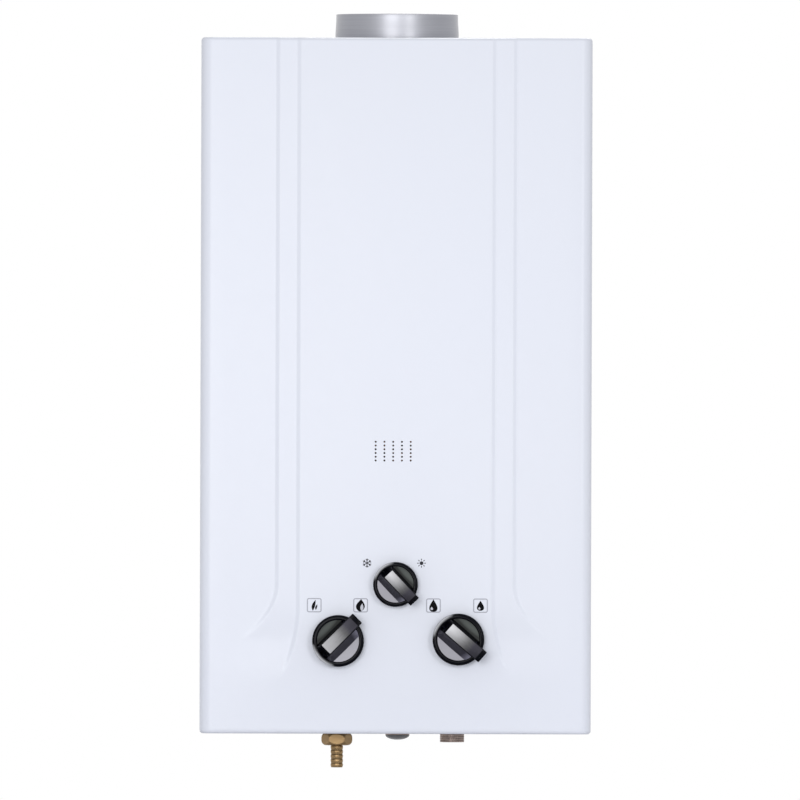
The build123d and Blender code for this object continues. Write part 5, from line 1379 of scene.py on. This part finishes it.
def pale_floor(stage):
    """Pale floor that fades out at its edge."""
    finish = new_finish("pale_floor")
    pale = {"Color": opaque(stage.floor_pale), "Roughness": 1.0}
    diffuse = finish.node("ShaderNodeBsdfDiffuse", None, pale)
    clear = finish.node("ShaderNodeBsdfTransparent")
    reach = finish.node("ShaderNodeVectorMath", {"operation": "LENGTH"}, {0: finish.place()}, "Value")
    fade = ((reach - stage.floor_radius * 0.45) * (2.0 / stage.floor_radius)).held()
    return finish.close(finish.node("ShaderNodeMixShader", None, {0: fade, 1: diffuse, 2: clear}))


def white_world(stage):
    """White to the eye and in reflections, softer as a light."""
    finish = Finish(bpy.data.worlds.new("white_room"))
    camera = finish.node("ShaderNodeLightPath", output="Is Camera Ray")
    seen = finish.math("MAXIMUM", camera, camera.output("Is Glossy Ray"))
    seen = finish.math("MAXIMUM", seen, camera.output("Is Transmission Ray"))
    soft = finish.node("ShaderNodeBackground", None, {"Color": WHITE, "Strength": stage.ambient})
    white = finish.node("ShaderNodeBackground", None, {"Color": WHITE, "Strength": 1.0})
    shown = finish.node("ShaderNodeMixShader", None, {0: seen, 1: soft, 2: white})
    return finish.close(shown, "ShaderNodeOutputWorld")


def add_lamp(name, stand, watts):
    """Soft square lamp that looks at the heater, itself out of sight."""
    place, side = stand
    data = bpy.data.lights.new(name, "AREA")
    data.shape = "SQUARE"
    data.size = side
    data.energy = watts
    lamp = bpy.data.objects.new(name, data)
    lamp.location = place
    lamp.rotation_euler = (-Vector(place)).to_track_quat("-Z", "Y").to_euler()
    lamp.visible_camera = False
    bpy.context.scene.collection.objects.link(lamp)


def add_camera(stage):
    """Camera square to the front panel, far enough away to see it almost flat."""
    data = bpy.data.cameras.new("front_camera")
    data.sensor_width = 36.0
    data.lens = data.sensor_width * stage.camera_distance / stage.frame_width
    data.clip_end = 10 * stage.camera_distance
    camera = bpy.data.objects.new("front_camera", data)
    camera.location = (stage.aim_x, COVER_LOW.y - stage.camera_distance, stage.aim_z)
    camera.rotation_euler = (math.radians(90), stage.roll, 0.0)
    bpy.context.scene.collection.objects.link(camera)
    bpy.context.scene.camera = camera


class HEATER_OT_stage(bpy.types.Operator):
    """Set the floor, the lights and the camera"""

    bl_idname = "heater.stage"
    bl_label = "Stage"

    def execute(self, context):
        stage = context.scene.heater_stage
        context.scene.view_settings.view_transform = "Standard"
        bm = bmesh.new()
        bmesh.ops.create_circle(bm, cap_ends=True, radius=stage.floor_radius, segments=96)
        level = CAD_BOX[0].z - stage.floor_drop
        bmesh.ops.translate(bm, verts=bm.verts[:], vec=(0.0, 0.0, level))
        floor = loose_object("floor", bm)
        floor.data.materials.append(pale_floor(stage))
        context.scene.world = white_world(stage)
        add_lamp("key_lamp", KEY_LAMP, stage.key_power)
        add_lamp("fill_lamp", FILL_LAMP, stage.fill_power)
        add_lamp("rear_lamp", REAR_LAMP, stage.rear_power)
        add_camera(stage)
        return {"FINISHED"}


OPERATORS = (
    HEATER_OT_cover, HEATER_OT_knobs, HEATER_OT_marks, HEATER_OT_flue, HEATER_OT_gas_tail,
    HEATER_OT_water_ends, HEATER_OT_finishes, HEATER_OT_screws, HEATER_OT_lid_ribs, HEATER_OT_stage,
)


class HEATER_PT_pieces(bpy.types.Panel):
    """Lists the heater's pieces"""

    bl_idname = "HEATER_PT_pieces"
    bl_label = "Gas water heater"
    bl_space_type = "VIEW_3D"
    bl_region_type = "UI"
    bl_category = "Heater"

    def draw(self, context):
        for operator in OPERATORS:
            self.layout.operator(operator.bl_idname)


CLASSES = (*SETTINGS.values(), *OPERATORS, HEATER_PT_pieces)


def register():
    for made in CLASSES:
        bpy.utils.register_class(made)
    for name, group in SETTINGS.items():
        setattr(bpy.types.Scene, name, PointerProperty(type=group))


def unregister():
    for name in SETTINGS:
        delattr(bpy.types.Scene, name)
    for made in reversed(CLASSES):
        bpy.utils.unregister_class(made)


def main():
    """Builds the heater's pieces in order."""
    register()
    bpy.ops.heater.cover()
    bpy.ops.heater.knobs()
    bpy.ops.heater.marks()
    bpy.ops.heater.flue()
    bpy.ops.heater.gas_tail()
    bpy.ops.heater.water_ends()
    bpy.ops.heater.finishes()
    bpy.ops.heater.screws()
    bpy.ops.heater.lid_ribs()
    bpy.ops.heater.stage()


if __name__ == "__main__":
    main()
